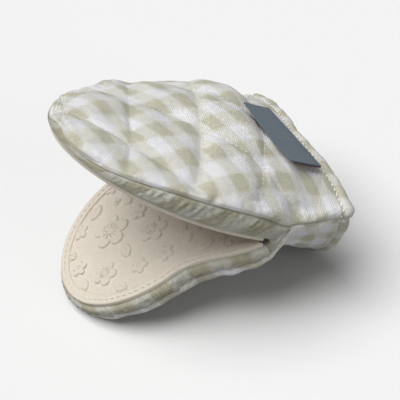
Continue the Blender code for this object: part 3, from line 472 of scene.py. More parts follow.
class SharedGroups:
    """The node groups that several finishes use, each built once."""

    def __init__(self) -> None:
        self.weave = self.build_weave()
        self.checks = self.build_checks()
        self.mottle = self.build_mottle()

    @staticmethod
    def build_weave() -> bpy.types.NodeTree:
        """Raised threads of a woven cloth with a diagonal rib.

        Height is a sine wave across the ribs, which lean two thirds off one thread direction, plus the product
        of two finer sine waves for the single threads. Noise bends the threads and makes them uneven.
        """
        group, source, sink = new_group(
            "woven threads", [("Cloth", "Vector", 0), ("Rib", "Float", 0.0009), ("Slub", "Float", 0.5),
                              ("Contrast", "Float", 0.15)], [("Height", "Float"), ("Shade", "Float")])
        wire = Wiring(group)
        parts = wire.node("ShaderNodeSeparateXYZ")
        wire.feed(source.outputs["Cloth"], parts.inputs[0])
        rate = wire.math("DIVIDE", 2 * math.pi, source.outputs["Rib"])
        bend = wire.math("MULTIPLY", wire.math("SUBTRACT", wire.noise(source.outputs["Cloth"], 240.0, 2.0), 0.5), 3.4)
        u = wire.math("MULTIPLY_ADD", parts.outputs[0], rate, bend)
        v = wire.math("MULTIPLY_ADD", parts.outputs[1], rate, bend)
        rib = wire.math("SINE", wire.math("MULTIPLY_ADD", v, 0.68, u))
        threads = wire.math("MULTIPLY", wire.math("SINE", wire.math("MULTIPLY", u, 1.7)),
                            wire.math("SINE", wire.math("MULTIPLY", v, 1.7)))
        lump = wire.math("SUBTRACT", wire.noise(source.outputs["Cloth"], 900.0, 2.0), 0.5)
        height = wire.math("MULTIPLY_ADD", lump, source.outputs["Slub"], 0.5)
        height = wire.math("MULTIPLY_ADD", rib, 0.26, height)
        height = wire.math("MULTIPLY_ADD", threads, 0.16, height)
        # Shade follows Height: painted shade in the low places between the threads and a little painted light on the
        # raised ribs; the slub noise in it is uneven thread tone.
        low = wire.math("SUBTRACT", 1.0, source.outputs["Contrast"])
        high = wire.math("MULTIPLY_ADD", source.outputs["Contrast"], 0.5, 1.0)
        wire.feed(height, sink.inputs["Height"])
        wire.feed(wire.ramp(height, 0.0, 1.0, low, high), sink.inputs["Shade"])
        return group

    @staticmethod
    def build_checks() -> bpy.types.NodeTree:
        """Woven checks: stripes one way over stripes the other way, so where two cross the colour is full.

        A stripe is on for half of each period, round every whole number, with soft edges. The sum of both
        stripes picks the ground, the half tone or the full tone.
        """
        group, source, sink = new_group(
            "woven checks",
            [("Place", "Vector", 0), ("Cloth", "Vector", 0), ("Softness", "Float", 0.06),
             ("Ground", "Color", (1, 1, 1, 1)), ("Half", "Color", (0.7, 0.7, 0.6, 1)),
             ("Full", "Color", (0.4, 0.4, 0.3, 1))],
            [("Color", "Color"), ("Stripe", "Float")])
        wire = Wiring(group)
        coarse = wire.math("SUBTRACT", wire.noise(source.outputs["Cloth"], 70.0, 2.0), 0.5)
        fine = wire.math("SUBTRACT", wire.noise(source.outputs["Cloth"], 1100.0, 1.0), 0.5)
        wobble = wire.math("MULTIPLY_ADD", fine, 0.16, wire.math("MULTIPLY_ADD", coarse, 0.22, 0.5))
        parts = wire.node("ShaderNodeSeparateXYZ")
        wire.feed(source.outputs["Place"], parts.inputs[0])
        stripes = []
        for number in (0, 1):
            turns = wire.math("ADD", parts.outputs[number], wobble)
            fold = wire.math("ABSOLUTE", wire.math("SUBTRACT", wire.math("FRACT", turns), 0.5))
            low = wire.math("SUBTRACT", 0.25, source.outputs["Softness"])
            high = wire.math("ADD", 0.25, source.outputs["Softness"])
            stripes.append(wire.ramp(fold, low, high, 1.0, 0.0))
        total = wire.math("ADD", *stripes)
        color = wire.mix(wire.ramp(total, 0.0, 1.0), source.outputs["Ground"], source.outputs["Half"])
        color = wire.mix(wire.ramp(total, 1.0, 2.0), color, source.outputs["Full"])
        wire.feed(color, sink.inputs["Color"])
        wire.feed(total, sink.inputs["Stripe"])
        return group

    @staticmethod
    def build_mottle() -> bpy.types.NodeTree:
        """Slow variation of a colour over a surface, from noise at two scales."""
        group, source, sink = new_group(
            "mottle", [("Place", "Vector", 0), ("Color", "Color", (1, 1, 1, 1)), ("Amount", "Float", 0.1)],
            [("Color", "Color"), ("Value", "Float")])
        wire = Wiring(group)
        broad = wire.noise(source.outputs["Place"], 45.0, 2.0)
        fine = wire.noise(source.outputs["Place"], 420.0, 2.0)
        both = wire.math("MULTIPLY_ADD", fine, 0.5, wire.math("MULTIPLY", broad, 0.5))
        low = wire.math("SUBTRACT", 1.0, source.outputs["Amount"])
        high = wire.math("ADD", 1.0, source.outputs["Amount"])
        value = wire.ramp(both, 0.3, 0.7, low, high)
        scaled = wire.node("ShaderNodeVectorMath", operation="SCALE")
        wire.feed(source.outputs["Color"], scaled.inputs[0])
        wire.feed(value, scaled.inputs["Scale"])
        wire.feed(scaled.outputs[0], sink.inputs["Color"])
        wire.feed(both, sink.inputs["Value"])
        return group


@dataclass(frozen=True)
class Finish:
    """What every finish has: a name, a roughness and how strongly its relief shows."""

    name: str
    roughness: float = 0.9
    bump: float = 0.5
    bump_depth: float = 0.0002

    def start(self) -> tuple[bpy.types.Material, Wiring, bpy.types.Node]:
        """A new material with its wiring and its Principled node."""
        material = bpy.data.materials.new(self.name)
        material.use_nodes = True
        shader = material.node_tree.nodes["Principled BSDF"]
        shader.inputs["Roughness"].default_value = self.roughness
        return material, Wiring(material.node_tree), shader

    def relief(self, wire: Wiring, shader: bpy.types.Node, height) -> None:
        """Feeds a height to the shader's normal through a Bump node."""
        bump = wire.node("ShaderNodeBump")
        bump.inputs["Strength"].default_value = self.bump
        bump.inputs["Distance"].default_value = self.bump_depth
        wire.feed(height, bump.inputs["Height"])
        wire.feed(bump.outputs[0], shader.inputs["Normal"])


@dataclass(frozen=True)
class CheckedCotton(Finish):
    """Checked cotton canvas. Its pattern and weave follow the piece's own cloth coordinates."""

    ground: tuple[float, float, float] = (0.83, 0.83, 0.85)
    half: tuple[float, float, float] = (0.71, 0.70, 0.645)
    full: tuple[float, float, float] = (0.55, 0.53, 0.415)
    rib: float = 0.0011

    def build(self, groups: SharedGroups) -> bpy.types.Material:
        """The finished material."""
        material, wire, shader = self.start()
        place = wire.node("ShaderNodeUVMap", uv_map="cloth").outputs["UV"]
        periods = wire.node("ShaderNodeUVMap", uv_map="checks").outputs["UV"]
        checks = wire.group(groups.checks, Place=periods, Cloth=place, Softness=0.09, Ground=(*self.ground, 1),
                            Half=(*self.half, 1), Full=(*self.full, 1))
        weave = wire.group(groups.weave, Cloth=place, Rib=self.rib, Slub=1.3, Contrast=0.32)
        mottle = wire.group(groups.mottle, Place=place, Color=checks.outputs["Color"], Amount=0.10)
        # The checks' colour is scaled by the weave's Shade: painted shade between the threads and painted light on the
        # ribs.
        shade = wire.node("ShaderNodeVectorMath", operation="SCALE")
        wire.feed(mottle.outputs["Color"], shade.inputs[0])
        wire.feed(weave.outputs["Shade"], shade.inputs["Scale"])
        wire.feed(shade.outputs[0], shader.inputs["Base Color"])
        self.relief(wire, shader, weave.outputs["Height"])
        shader.inputs["Sheen Weight"].default_value = 0.12
        shader.inputs["Sheen Roughness"].default_value = 0.5
        return material


@dataclass(frozen=True)
class PlainCotton(Finish):
    """Unbleached plain cotton, for linings and ribbons."""

    color: tuple[float, float, float] = (0.72, 0.69, 0.62)
    rib: float = 0.0006
    sheen: float = 0.1

    def build(self, groups: SharedGroups) -> bpy.types.Material:
        """The finished material."""
        material, wire, shader = self.start()
        place = wire.node("ShaderNodeUVMap", uv_map="cloth").outputs["UV"]
        weave = wire.group(groups.weave, Cloth=place, Rib=self.rib, Slub=0.6, Contrast=0.12)
        mottle = wire.group(groups.mottle, Place=place, Color=(*self.color, 1), Amount=0.08)
        # The colour is scaled by the weave's Shade: painted shade between the threads and painted light on the ribs.
        shade = wire.node("ShaderNodeVectorMath", operation="SCALE")
        wire.feed(mottle.outputs["Color"], shade.inputs[0])
        wire.feed(weave.outputs["Shade"], shade.inputs["Scale"])
        wire.feed(shade.outputs[0], shader.inputs["Base Color"])
        self.relief(wire, shader, weave.outputs["Height"])
        shader.inputs["Sheen Weight"].default_value = self.sheen
        return material


@dataclass(frozen=True)
class MouldedSilicone(Finish):
    """Beige silicone with a fine moulded grain."""

    color: tuple[float, float, float] = (0.66, 0.60, 0.515)

    def build(self, groups: SharedGroups) -> bpy.types.Material:
        """The finished material."""
        material, wire, shader = self.start()
        place = wire.node("ShaderNodeTexCoord").outputs["Object"]
        mottle = wire.group(groups.mottle, Place=place, Color=(*self.color, 1), Amount=0.05)
        wire.feed(mottle.outputs["Color"], shader.inputs["Base Color"])
        grain = wire.noise(place, 2600.0, 2.0)
        self.relief(wire, shader, grain)
        shader.inputs["Specular IOR Level"].default_value = 0.4
        return material


@dataclass(frozen=True)
class Fleece(Finish):
    """Loose wadding: a soft matt surface of tangled fibres."""

    color: tuple[float, float, float] = (0.84, 0.83, 0.80)

    def build(self, groups: SharedGroups) -> bpy.types.Material:
        """The finished material."""
        material, wire, shader = self.start()
        place = wire.node("ShaderNodeTexCoord").outputs["Object"]
        mottle = wire.group(groups.mottle, Place=place, Color=(*self.color, 1), Amount=0.06)
        wire.feed(mottle.outputs["Color"], shader.inputs["Base Color"])
        self.relief(wire, shader, wire.noise(place, 700.0, 5.0, 0.7))
        return material


@dataclass(frozen=True)
class Thread(Finish):
    """Sewing thread with the twist of its plies."""

    color: tuple[float, float, float] = (0.80, 0.76, 0.68)

    def build(self, groups: SharedGroups) -> bpy.types.Material:
        """The finished material."""
        material, wire, shader = self.start()
        place = wire.node("ShaderNodeTexCoord").outputs["Object"]
        mottle = wire.group(groups.mottle, Place=place, Color=(*self.color, 1), Amount=0.08)
        wire.feed(mottle.outputs["Color"], shader.inputs["Base Color"])
        self.relief(wire, shader, wire.noise(place, 3000.0, 1.0))
        return material


@dataclass
class Finishes:
    """Every material of the mitt."""

    groups: SharedGroups = field(default_factory=SharedGroups)

    def __post_init__(self) -> None:
        """Builds the materials from the shared groups."""
        self.gingham = CheckedCotton("checked cotton", 0.92, 0.9, 0.00030).build(self.groups)
        # The palm cloth's checks are darker than the cover's: painted shade on the palm walls and the fold gusset,
        # which sit under the overhanging covers and in the fold.
        self.palm = CheckedCotton("palm cotton darkened as painted shade", 0.92, 0.9, 0.00030, ground=(0.69, 0.69, 0.69),
                                  half=(0.54, 0.53, 0.46), full=(0.41, 0.39, 0.285)).build(self.groups)
        self.lining = PlainCotton("plain cotton lining", 0.93, 0.6, 0.00015).build(self.groups)
        self.silicone = MouldedSilicone("moulded silicone", 0.5, 0.12, 0.00008).build(self.groups)
        self.wadding = Fleece("wadding fleece", 0.95, 0.8, 0.0006).build(self.groups)
        self.seam_thread = Thread("seam thread", 0.75, 0.4, 0.00005, color=(0.86, 0.85, 0.80)).build(self.groups)
        self.pad_thread = Thread("pad thread", 0.7, 0.4, 0.00005, color=(0.78, 0.72, 0.63)).build(self.groups)
        self.ribbon = PlainCotton("woven ribbon", 0.7, 0.8, 0.00012, color=(0.085, 0.122, 0.155),
                                  rib=0.0007, sheen=0.15).build(self.groups)
        self.ribbon_back = PlainCotton("ribbon underside", 0.8, 0.8, 0.00012, color=(0.13, 0.03, 0.03),
                                       rib=0.0004).build(self.groups)


@dataclass(frozen=True)
class Jaw:
    """The bent palm of one jaw: turns (s, y, n) into the hinge frame."""

    tilt: float
    curl: float
    length: float
    side: int

    def place(self, points: np.ndarray) -> np.ndarray:
        """The palm is straight behind the fold and an arc in front of it; n is square to it."""
        s, y, n = points[..., 0], points[..., 1], points[..., 2]
        turn = self.curl / self.length * np.clip(s, 0, None)
        half = turn / 2
        reach = s * np.sinc(half / math.pi)
        x = -reach * np.cos(self.tilt + half) + n * np.sin(self.tilt + turn)
        z = reach * np.sin(self.tilt + half) + n * np.cos(self.tilt + turn)
        return stack(x, y, self.side * z)

    def find(self, x: float, z: float) -> tuple[float, float]:
        """Jaw coordinates (s, n) of a point of the hinge frame behind the fold."""
        z = self.side * z
        return (-x * math.cos(self.tilt) + z * math.sin(self.tilt),
                x * math.sin(self.tilt) + z * math.cos(self.tilt))


@dataclass(frozen=True)
class MittForm:
    """The outlines and seams that the mitt's pieces share."""

    half_width: float = 60 * MM
    finger_length: float = 100 * MM
    finger_straight: float = 5 * MM
    thumb_length: float = 101 * MM
    lobe_half_width: float = 43.5 * MM
    neck_length: float = 47 * MM
    margin: float = 2.2 * MM
    finger_wall_fold: float = 13.9 * MM
    finger_wall_tip: float = 8.2 * MM
    thumb_wall_fold: float = 8.4 * MM
    thumb_wall: float = 9.5 * MM
    thumb_wall_taper: float = 20 * MM
    junction: tuple[float, float] = (14 * MM, 5.4 * MM)
    cuff_x: float = 43.5 * MM
    cuff_half_width: float = 57 * MM
    cuff_side: float = -2.2 * MM
    cuff_top: float = 15.45 * MM
    cuff_bottom: float = -54.75 * MM
    stand: float = -56.5 * MM
    rim_rise: float = 0.9 * MM
    sheet: float = 1.6 * MM
    rim_width: float = 5.5 * MM
    cloth: float = 0.8 * MM
    fingers: Jaw = Jaw(28.6 * DEG, 4.6 * DEG, 100 * MM, 1)
    thumb: Jaw = Jaw(19.1 * DEG, 17.4 * DEG, 101 * MM, -1)

    def finger_outline(self, s: np.ndarray, outset: float) -> np.ndarray:
        """Half width of the upper jaw: straight at the fold, then half an ellipse to the tip."""
        length = self.finger_length + outset - self.finger_straight
        along = np.clip((s - self.finger_straight) / length, 0, 1)
        return (self.half_width + outset) * np.sqrt(1 - along**2)

    def thumb_outline(self, s: np.ndarray, outset: float) -> np.ndarray:
        """Half width of the lower jaw: it narrows smoothly to the lobe, which ends in half an ellipse."""
        t = ease(s / self.neck_length)
        neck = self.half_width + (self.lobe_half_width - self.half_width) * t + outset
        along = np.clip((s - self.neck_length) / (self.thumb_length + outset - self.neck_length), 0, 1)
        return neck * np.sqrt(1 - along**2)

    def finger_seam(self, s: np.ndarray, y: np.ndarray) -> np.ndarray:
        """Height of the seam over the finger palm, from the cuff past the junction to the tip.

        On the near side it arches up at mid length, and on the far side it comes down to the grip at the tip.

        Args:
            s: places along the palm.
            y: places across it, negative on the near side.

        Returns:
            The heights.
        """
        cuff_s, cuff_n = self.fingers.find(self.cuff_x, self.cuff_side)
        at_s, at_n = self.fingers.find(*self.junction)
        knots = [cuff_s, at_s, self.finger_wall_fold / 2, self.finger_length + self.margin]
        heights = [cuff_n, at_n, self.finger_wall_fold, self.finger_wall_tip]
        blur = np.linspace(-3 * MM, 3 * MM, 7)
        plain = np.mean([np.interp(s + shift, knots, heights) for shift in blur], axis=0)
        arch = smooth_through(s, np.array([-30, -10, 0, 12, 25, 39, 57, 72, 88, 103]) * MM,
                              [0, 0, 0.3, 1.2, 2.2, 2.5, 2.2, 0.4, -2.2, -3.2]) * MM
        return plain + arch * ease(-y / (20 * MM)) - 3.8 * MM * ease((s - 45 * MM) / (35 * MM)) * ease((y + 4 * MM) / (18 * MM))

    def thumb_seam(self, s: np.ndarray, y: np.ndarray) -> np.ndarray:
        """Depth of the seam round the lower jaw, a little less beside the fold, and the same on both sides."""
        return np.interp(s, [0, self.thumb_wall_taper], [self.thumb_wall_fold, self.thumb_wall]) + 0 * y

    def settle(self, grid: np.ndarray) -> np.ndarray:
        """Presses points flat, softly, where they would pass the surface that the mitt stands on."""
        over = grid[..., 2] - self.stand
        soft = 0.8 * MM
        lifted = np.where(over > soft, over, soft * np.exp(np.minimum(over / soft - 1, 0)))
        return stack(grid[..., 0], grid[..., 1], self.stand + lifted)


@dataclass
class Quilting:
    """Two crossing families of sewn lines over the finger back, in (s, arc) of the cover."""

    starts: tuple[float, float] = (27 * MM, 36 * MM)
    pitches: tuple[float, float] = (37 * MM, 50 * MM)
    slopes: tuple[float, float] = (-0.355, 0.72)
    depth: float = 4.4 * MM

    def phases(self, s: np.ndarray, arc: np.ndarray) -> list[np.ndarray]:
        """How many lines of each family lie before a point."""
        return [(s - start - slope * arc) / pitch
                for start, pitch, slope in zip(self.starts, self.pitches, self.slopes)]

    def nearest(self, s: np.ndarray, arc: np.ndarray) -> np.ndarray:
        """Distance to the nearest sewn line."""
        square = [pitch * math.cos(math.atan(slope)) for pitch, slope in zip(self.pitches, self.slopes)]
        return np.minimum(*[np.abs(phase - np.round(phase)) * step for phase, step in zip(self.phases(s, arc), square)])

    def hollow(self, s: np.ndarray, arc: np.ndarray) -> np.ndarray:
        """Depth under the crown: full on the lines, none in the middle of a puff, with a sharp valley."""
        one, two = self.phases(s, arc)
        return self.depth * (1 - np.abs(np.sin(math.pi * one) * np.sin(math.pi * two)) ** 0.45)


@dataclass
class Workshop:
    """What every class of pieces needs: the form, the finishes, the joints and the hinge's place."""

    form: MittForm
    finishes: Finishes
    joints: Sequence[dict]

    def __post_init__(self) -> None:
        """Finds the hinge, where the hinge frame has its origin."""
        self.hinge, _ = self.joint("jaw_fold")

    def joint(self, name: str) -> tuple[np.ndarray, np.ndarray]:
        """A joint's place and its axis in the row frame."""
        found = next(joint for joint in self.joints if joint["name"] == name)
        return np.array(found["pos_m"], float), unit(np.array(found["axis"], float))

    def keep(self, piece: bpy.types.Object, material: bpy.types.Material, slot: Slot,
             nodes: Sequence[str] = ()) -> bpy.types.Object:
        """Gives a piece its finish and hides the CAD nodes that it stands for."""
        piece.data.materials.clear()
        piece.data.materials.append(material)
        if nodes:
            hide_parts(*nodes)
        LOG.info("%s: %d vertices", piece.name, len(piece.data.vertices))
        return piece

    def world(self, grid: np.ndarray) -> np.ndarray:
        """Moves points from the hinge frame into the row frame."""
        return grid + self.hinge

    def across_fold(self, piece: bpy.types.Object, start: tuple[float, float], end: tuple[float, float]) -> None:
        """Bakes a piece's place into its mesh. Its two points (x, z) of the hinge frame are moved into the row frame.
        """
        first, last = (self.world(np.array([x, 0, z])) for x, z in (start, end))
        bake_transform(piece)


def tucked(angles: int, roll: Sequence[tuple[float, float]]) -> tuple[np.ndarray, np.ndarray, np.ndarray]:
    """Columns of a panel from seam to seam: quarter turns between, and a few more that roll into the seams.

    Args:
        angles: how many columns lie between the seams.
        roll: for each rolled column, how far it lies inwards and how far beyond the seam's height.

    Returns:
        The turn of each column from -90 to 90 degrees, its way inwards and its way past the seam.
    """
    turn = np.linspace(-math.pi / 2, math.pi / 2, angles)
    inward = np.array([step for step, _ in roll])
    beyond = np.array([step for _, step in roll])
    full = np.concatenate([np.full(len(roll), -math.pi / 2), turn, np.full(len(roll), math.pi / 2)])
    zeros = np.zeros(angles)
    return (full, np.concatenate([inward[::-1], zeros, inward]), np.concatenate([beyond[::-1], zeros, beyond]))


SEAM_ROLL = [(0.15 * MM, 0.45 * MM), (0.6 * MM, 0.8 * MM), (1.3 * MM, 0.9 * MM), (2.2 * MM, 0.7 * MM)]


@dataclass
class FingerBack:
    """The quilted cover over the fingers with its padding, lining and stitches."""

    shop: Workshop
    rows: int = 230
    columns: int = 221
    ridge_fold: float = 39.5 * MM
    ridge_mid: float = 26 * MM
    ridge_tip: float = 17.5 * MM
    ridge_end: float = 20 * MM
    quilting: Quilting = field(default_factory=Quilting)

    def crown(self, rows: int, columns: int, roll: Sequence[tuple[float, float]]) -> np.ndarray:
        """The smooth panel without quilting.

        Each row is half an ellipse from the near seam over the ridge to the far seam: across is the seam's half
        width times the sine of the turn, and height goes from seam to ridge with its cosine. The last row lies
        on the middle line, from the tip back to the ridge's end.

        Args:
            rows: rows from the hem to the tip.
            columns: columns between the seams.
            roll: further columns that roll into the seams.

        Returns:
            Points in the hinge frame.
        """
        form = self.shop.form
        tip = form.finger_length + form.margin
        cuff_s, _ = form.fingers.find(form.cuff_x, form.cuff_side)
        top_s, top_n = form.fingers.find(form.cuff_x, form.cuff_top)
        s = spaced(cuff_s, tip, rows)
        slim = np.clip(s / cuff_s, 0, 1) * (form.half_width + form.margin - form.cuff_half_width)
        seam_y = form.finger_outline(s, form.margin) - slim
        end = tip - self.ridge_end
        ridge_s = spaced(top_s, end, rows)
        knots = [top_s, 0, form.finger_length / 2, end]
        ridge_n = smooth_through(ridge_s, knots, [top_n, self.ridge_fold, self.ridge_mid, self.ridge_tip])
        turn, inward, beyond = tucked(columns, roll)
        sine, cosine = np.sin(turn)[None], np.cos(turn)[None]
        sides = [form.finger_seam(s, seam_y * way)[:, None] + 0.3 * MM for way in (-1, 1)]
        seam_n = np.where(sine < 0, *sides)
        span = np.hypot(s - ridge_s, seam_y)
        share = 1 - inward[None] / np.maximum(span, 4 * MM)[:, None]
        along = ridge_s[:, None] + (s - ridge_s)[:, None] * np.abs(sine) * share
        across = seam_y[:, None] * sine * share
        rise = seam_n + (ridge_n[:, None] - seam_n) * cosine - beyond[None]
        return form.fingers.place(stack(along, across, rise))

    def cloth_map(self, grid: np.ndarray) -> np.ndarray:
        """Flat coordinates: s along the jaw, and across it the width plus a share of the drop from the ridge."""
        s, n = self.shop.form.fingers.find(grid[..., 0], grid[..., 2])
        middle = grid.shape[1] // 2
        line_s, line_n = (np.concatenate([part[:, middle], part[-1, middle + 1:]]) for part in (s, n))
        drop = np.maximum(np.interp(s, line_s, line_n) - n, 0)
        return np.stack([s, np.sign(grid[..., 1]) * (np.abs(grid[..., 1]) + 0.43 * drop)], axis=-1)

    def sewn(self) -> np.ndarray:
        """How far the padding and the seams move each point of a coarse cover, worked out by simulation."""
        rows, columns = 92, 81
        base = self.crown(rows, columns, [])
        flat = self.cloth_map(base)
        normal = outward(base, np.array([0, 0, 0.01]))
        hollow = self.quilting.hollow(flat[..., 0], flat[..., 1]) * self.fade(rows, columns, 5)
        start = base - normal * hollow[..., None]
        distance = self.quilting.nearest(flat[..., 0], flat[..., 1])
        held = np.exp(-(distance / (1.1 * MM)) ** 2)
        held = np.maximum(held, 1 - self.fade(rows, columns))
        held[:2], held[-2:], held[:, :2], held[:, -2:] = 1, 1, 1, 1
        blown = inflate(start, held, 2.2, 1.6 * MM)
        height = np.sum((blown - base) * normal, axis=-1)
        wide = np.pad(height, 1, mode="edge")
        down = (wide[:-2] + 2 * wide[1:-1] + wide[2:]) / 4
        return (down[:, :-2] + 2 * down[:, 1:-1] + down[:, 2:]) / 4

    @staticmethod
    def fade(rows: int, columns: int, reach: float = 10) -> np.ndarray:
        """1 over the panel, and smoothly 0 at the hem and, from 1 / reach of half its width, at both seams."""
        down = ease(np.linspace(0, 1, rows) * 9)[:, None]
        across = ease((1 - np.abs(np.linspace(-1, 1, columns))) * reach)[None]
        return down * across

    @staticmethod
    def check_map(flat: np.ndarray) -> np.ndarray:
        """The check pattern's own coordinates: it lies a little askew on the panel, and is longer across."""
        s, arc = flat[..., 0] / MM, flat[..., 1] / MM
        return np.stack([4.512 - 0.0621 * s + 0.0182 * arc, 1.88 - 0.0065 * s - 0.0417 * arc], axis=-1)

    @staticmethod
    def slump(s: np.ndarray, arc: np.ndarray) -> np.ndarray:
        """How far the padding gives way: on the far side it sinks at mid length and stands up beside the cuff."""
        far = ease((arc - 14 * MM) / (24 * MM))
        knots = [-40, -26, -8, 6, 16, 30, 46, 70, 95]
        sink = smooth_through(s, np.array(knots) * MM, [0, -0.6, -2.6, -1.9, 0.4, 1.3, 0.5, 0.8, 0])
        return (0.9 + sink * far) * MM

    def cover(self) -> tuple[np.ndarray, np.ndarray]:
        """The dense cover: the sewn shape, with fine puckers beside every stitched line and along the seams.

        Returns:
            The cover's points in the hinge frame, with its rolled columns, and their flat coordinates.
        """
        form, quilt = self.shop.form, self.quilting
        base = self.crown(self.rows, self.columns, [])
        flat = self.cloth_map(base)
        s, arc = flat[..., 0], flat[..., 1]
        normal = outward(base, np.array([0, 0, 0.01]))
        normal[-1] = unit(normal[-1] + normal[-1, ::-1])
        middle, share = self.columns // 2, ease(np.linspace(0, 1, 40))[:, None, None]
        beside = unit(normal[-40:, middle - 3] + normal[-40:, middle + 3])[:, None]
        normal[-40:, middle - 2:middle + 3] = unit(normal[-40:, middle - 2:middle + 3] * (1 - share) + beside * share)
        height = resample(self.sewn(), self.rows, self.columns)
        near = np.exp(-quilt.nearest(s, arc) / (4.5 * MM))
        pucker = soft_noise(arc, s * 0.35, 4.6 * MM, 5) * near * 0.24 * MM
        edge = across_arc(base)
        to_seam = np.minimum(edge - edge[:, :1], edge[:, -1:] - edge)
        down = np.cumsum(np.linalg.norm(np.diff(base[:, :1], axis=0, prepend=base[:1, :1]), axis=-1), axis=0)
        gather = soft_noise(down + 0 * s, arc * 0.25, 6.5 * MM, 11) * np.exp(-to_seam / (7 * MM)) * 0.45 * MM
        swell = 1.8 * MM * np.exp(-((to_seam - 3.8 * MM) / (3.4 * MM)) ** 2)
        fade = self.fade(self.rows, self.columns)
        broad = soft_noise(s, arc, 17 * MM, 3) * 0.45 * MM
        height = height + (pucker + broad) * fade + (gather + swell) * ease(to_seam / (1.5 * MM))
        height = height - self.slump(s, arc) * ease(to_seam / (5 * MM)) * ease(np.linspace(0, 8, self.rows))[:, None]
        height[-1] = (height[-1] + height[-1, ::-1]) / 2
        grid = base + normal * height[..., None]
        full = self.crown(self.rows, self.columns, SEAM_ROLL)
        count = len(SEAM_ROLL)
        full[:, count:-count] = grid
        cloth = np.concatenate([flat[:, :1]] * count + [flat] + [flat[:, -1:]] * count, axis=1)
        width = np.linspace(count, 1, count) * 0.6 * MM
        cloth[:, :count, 1] -= width
        cloth[:, -count:, 1] += width[::-1]
        piece = surface("finger_cover_quilted", self.shop.world(full), self.shop.world(np.array([0, 0, 0.01])), cloth,
                        self.check_map(cloth))
        thicken(piece, form.cloth)
        self.shop.keep(piece, self.shop.finishes.gingham, Slot.GINGHAM, ["finger_cover"])
        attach(piece, Body.FINGERS.value)
        return full, cloth

    def layers(self) -> None:
        """The wadding and the lining under the cover, each a closed layer at its own depth."""
        form = self.shop.form
        rows, columns = 70, 61
        base = self.crown(rows, columns, [])
        normal = outward(base, np.array([0, 0, 0.01]))
        flat = self.cloth_map(base)
        fade = self.fade(rows, columns)
        across = np.clip((1 - np.abs(np.linspace(-1, 1, columns))) * 1.6, 0, 1)[None] ** 0.7
        down = np.clip(np.linspace(0, 1, rows) * 4, 0, 1)[:, None] ** 0.5
        fill = 1.3 * MM + 3.3 * MM * across * down
        hollow = self.quilting.hollow(flat[..., 0], flat[..., 1]) * fade
        under = form.cloth + 0.9 * MM + np.maximum(self.slump(flat[..., 0], flat[..., 1]), 0.3 * MM) * fade

        def sunk(depth: np.ndarray) -> np.ndarray:
            """The panel moved inwards by a depth."""
            return self.shop.world(base - normal * depth[..., None])

        floor = np.maximum(under + fill, under + hollow + 0.5 * MM)
        pad = shell("finger_wadding_pad", sunk(under + hollow), sunk(floor))
        self.shop.keep(pad, self.shop.finishes.wadding, Slot.WADDING, ["finger_wadding"])
        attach(pad, Body.FINGERS.value)
        crumple = soft_noise(flat[..., 0], flat[..., 1], 11 * MM, 21) * 0.35 * MM * fade
        inner = sunk(floor + 0.3 * MM + np.abs(crumple))
        lining = surface("finger_pocket_lining", inner, self.shop.world(np.array([-0.02, 0, 0.1])), flat)
        thicken(lining, 0.4 * MM)
        self.shop.keep(lining, self.shop.finishes.lining, Slot.LINING, ["finger_lining"])
        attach(lining, Body.FINGERS.value)

    def stitches(self, grid: np.ndarray, cloth: np.ndarray) -> None:
        """Thread in the valleys of the quilting, found on the cover by its flat coordinates."""
        count = len(SEAM_ROLL)
        inner, flat = grid[:, count:-count], cloth[:, count:-count]
        normal = outward(inner, np.array([0, 0, 0.01])).reshape(-1, 3)
        points, flat = inner.reshape(-1, 3), flat.reshape(-1, 2)
        quilt = self.quilting
        runs = []
        for start, pitch, slope in zip(quilt.starts, quilt.pitches, quilt.slopes):
            for line in range(-2, 4):
                arc = np.arange(-62 * MM, 62 * MM, 0.9 * MM)
                s = start + line * pitch + slope * arc
                gap = (s[:, None] - flat[None, :, 0]) ** 2 + (arc[:, None] - flat[None, :, 1]) ** 2
                best = np.argmin(gap, axis=1)
                good = gap[np.arange(len(arc)), best] < (1.6 * MM) ** 2
                if np.count_nonzero(good) > 12:
                    keep = best[good]
                    runs.append((points[keep], normal[keep]))
        made = []
        for number, (path, up) in enumerate(runs):
            kernel = np.ones(5) / 5
            smooth = np.stack([np.convolve(np.pad(path[:, k], 2, mode="edge"), kernel, "valid") for k in range(3)], 1)
            made.append(stitch_run(f"quilt_stitches_{number}", self.shop.world(smooth), up, 2.9 * MM, 1.7 * MM,
                                   0.16 * MM, 0.18 * MM))
        joined = join_pieces("quilt_stitches", made)
        self.shop.keep(joined, self.shop.finishes.seam_thread, Slot.GINGHAM)
        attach(joined, Body.FINGERS.value)


def join_pieces(name: str, pieces: Sequence[bpy.types.Object]) -> bpy.types.Object:
    """Several meshes as one object."""
    work = bmesh.new()
    for piece in pieces:
        work.from_mesh(piece.data)
        bpy.data.objects.remove(piece, do_unlink=True)
    mesh = bpy.data.meshes.new(name)
    work.to_mesh(mesh)
    work.free()
    mesh.shade_smooth()
    return link(name, mesh)


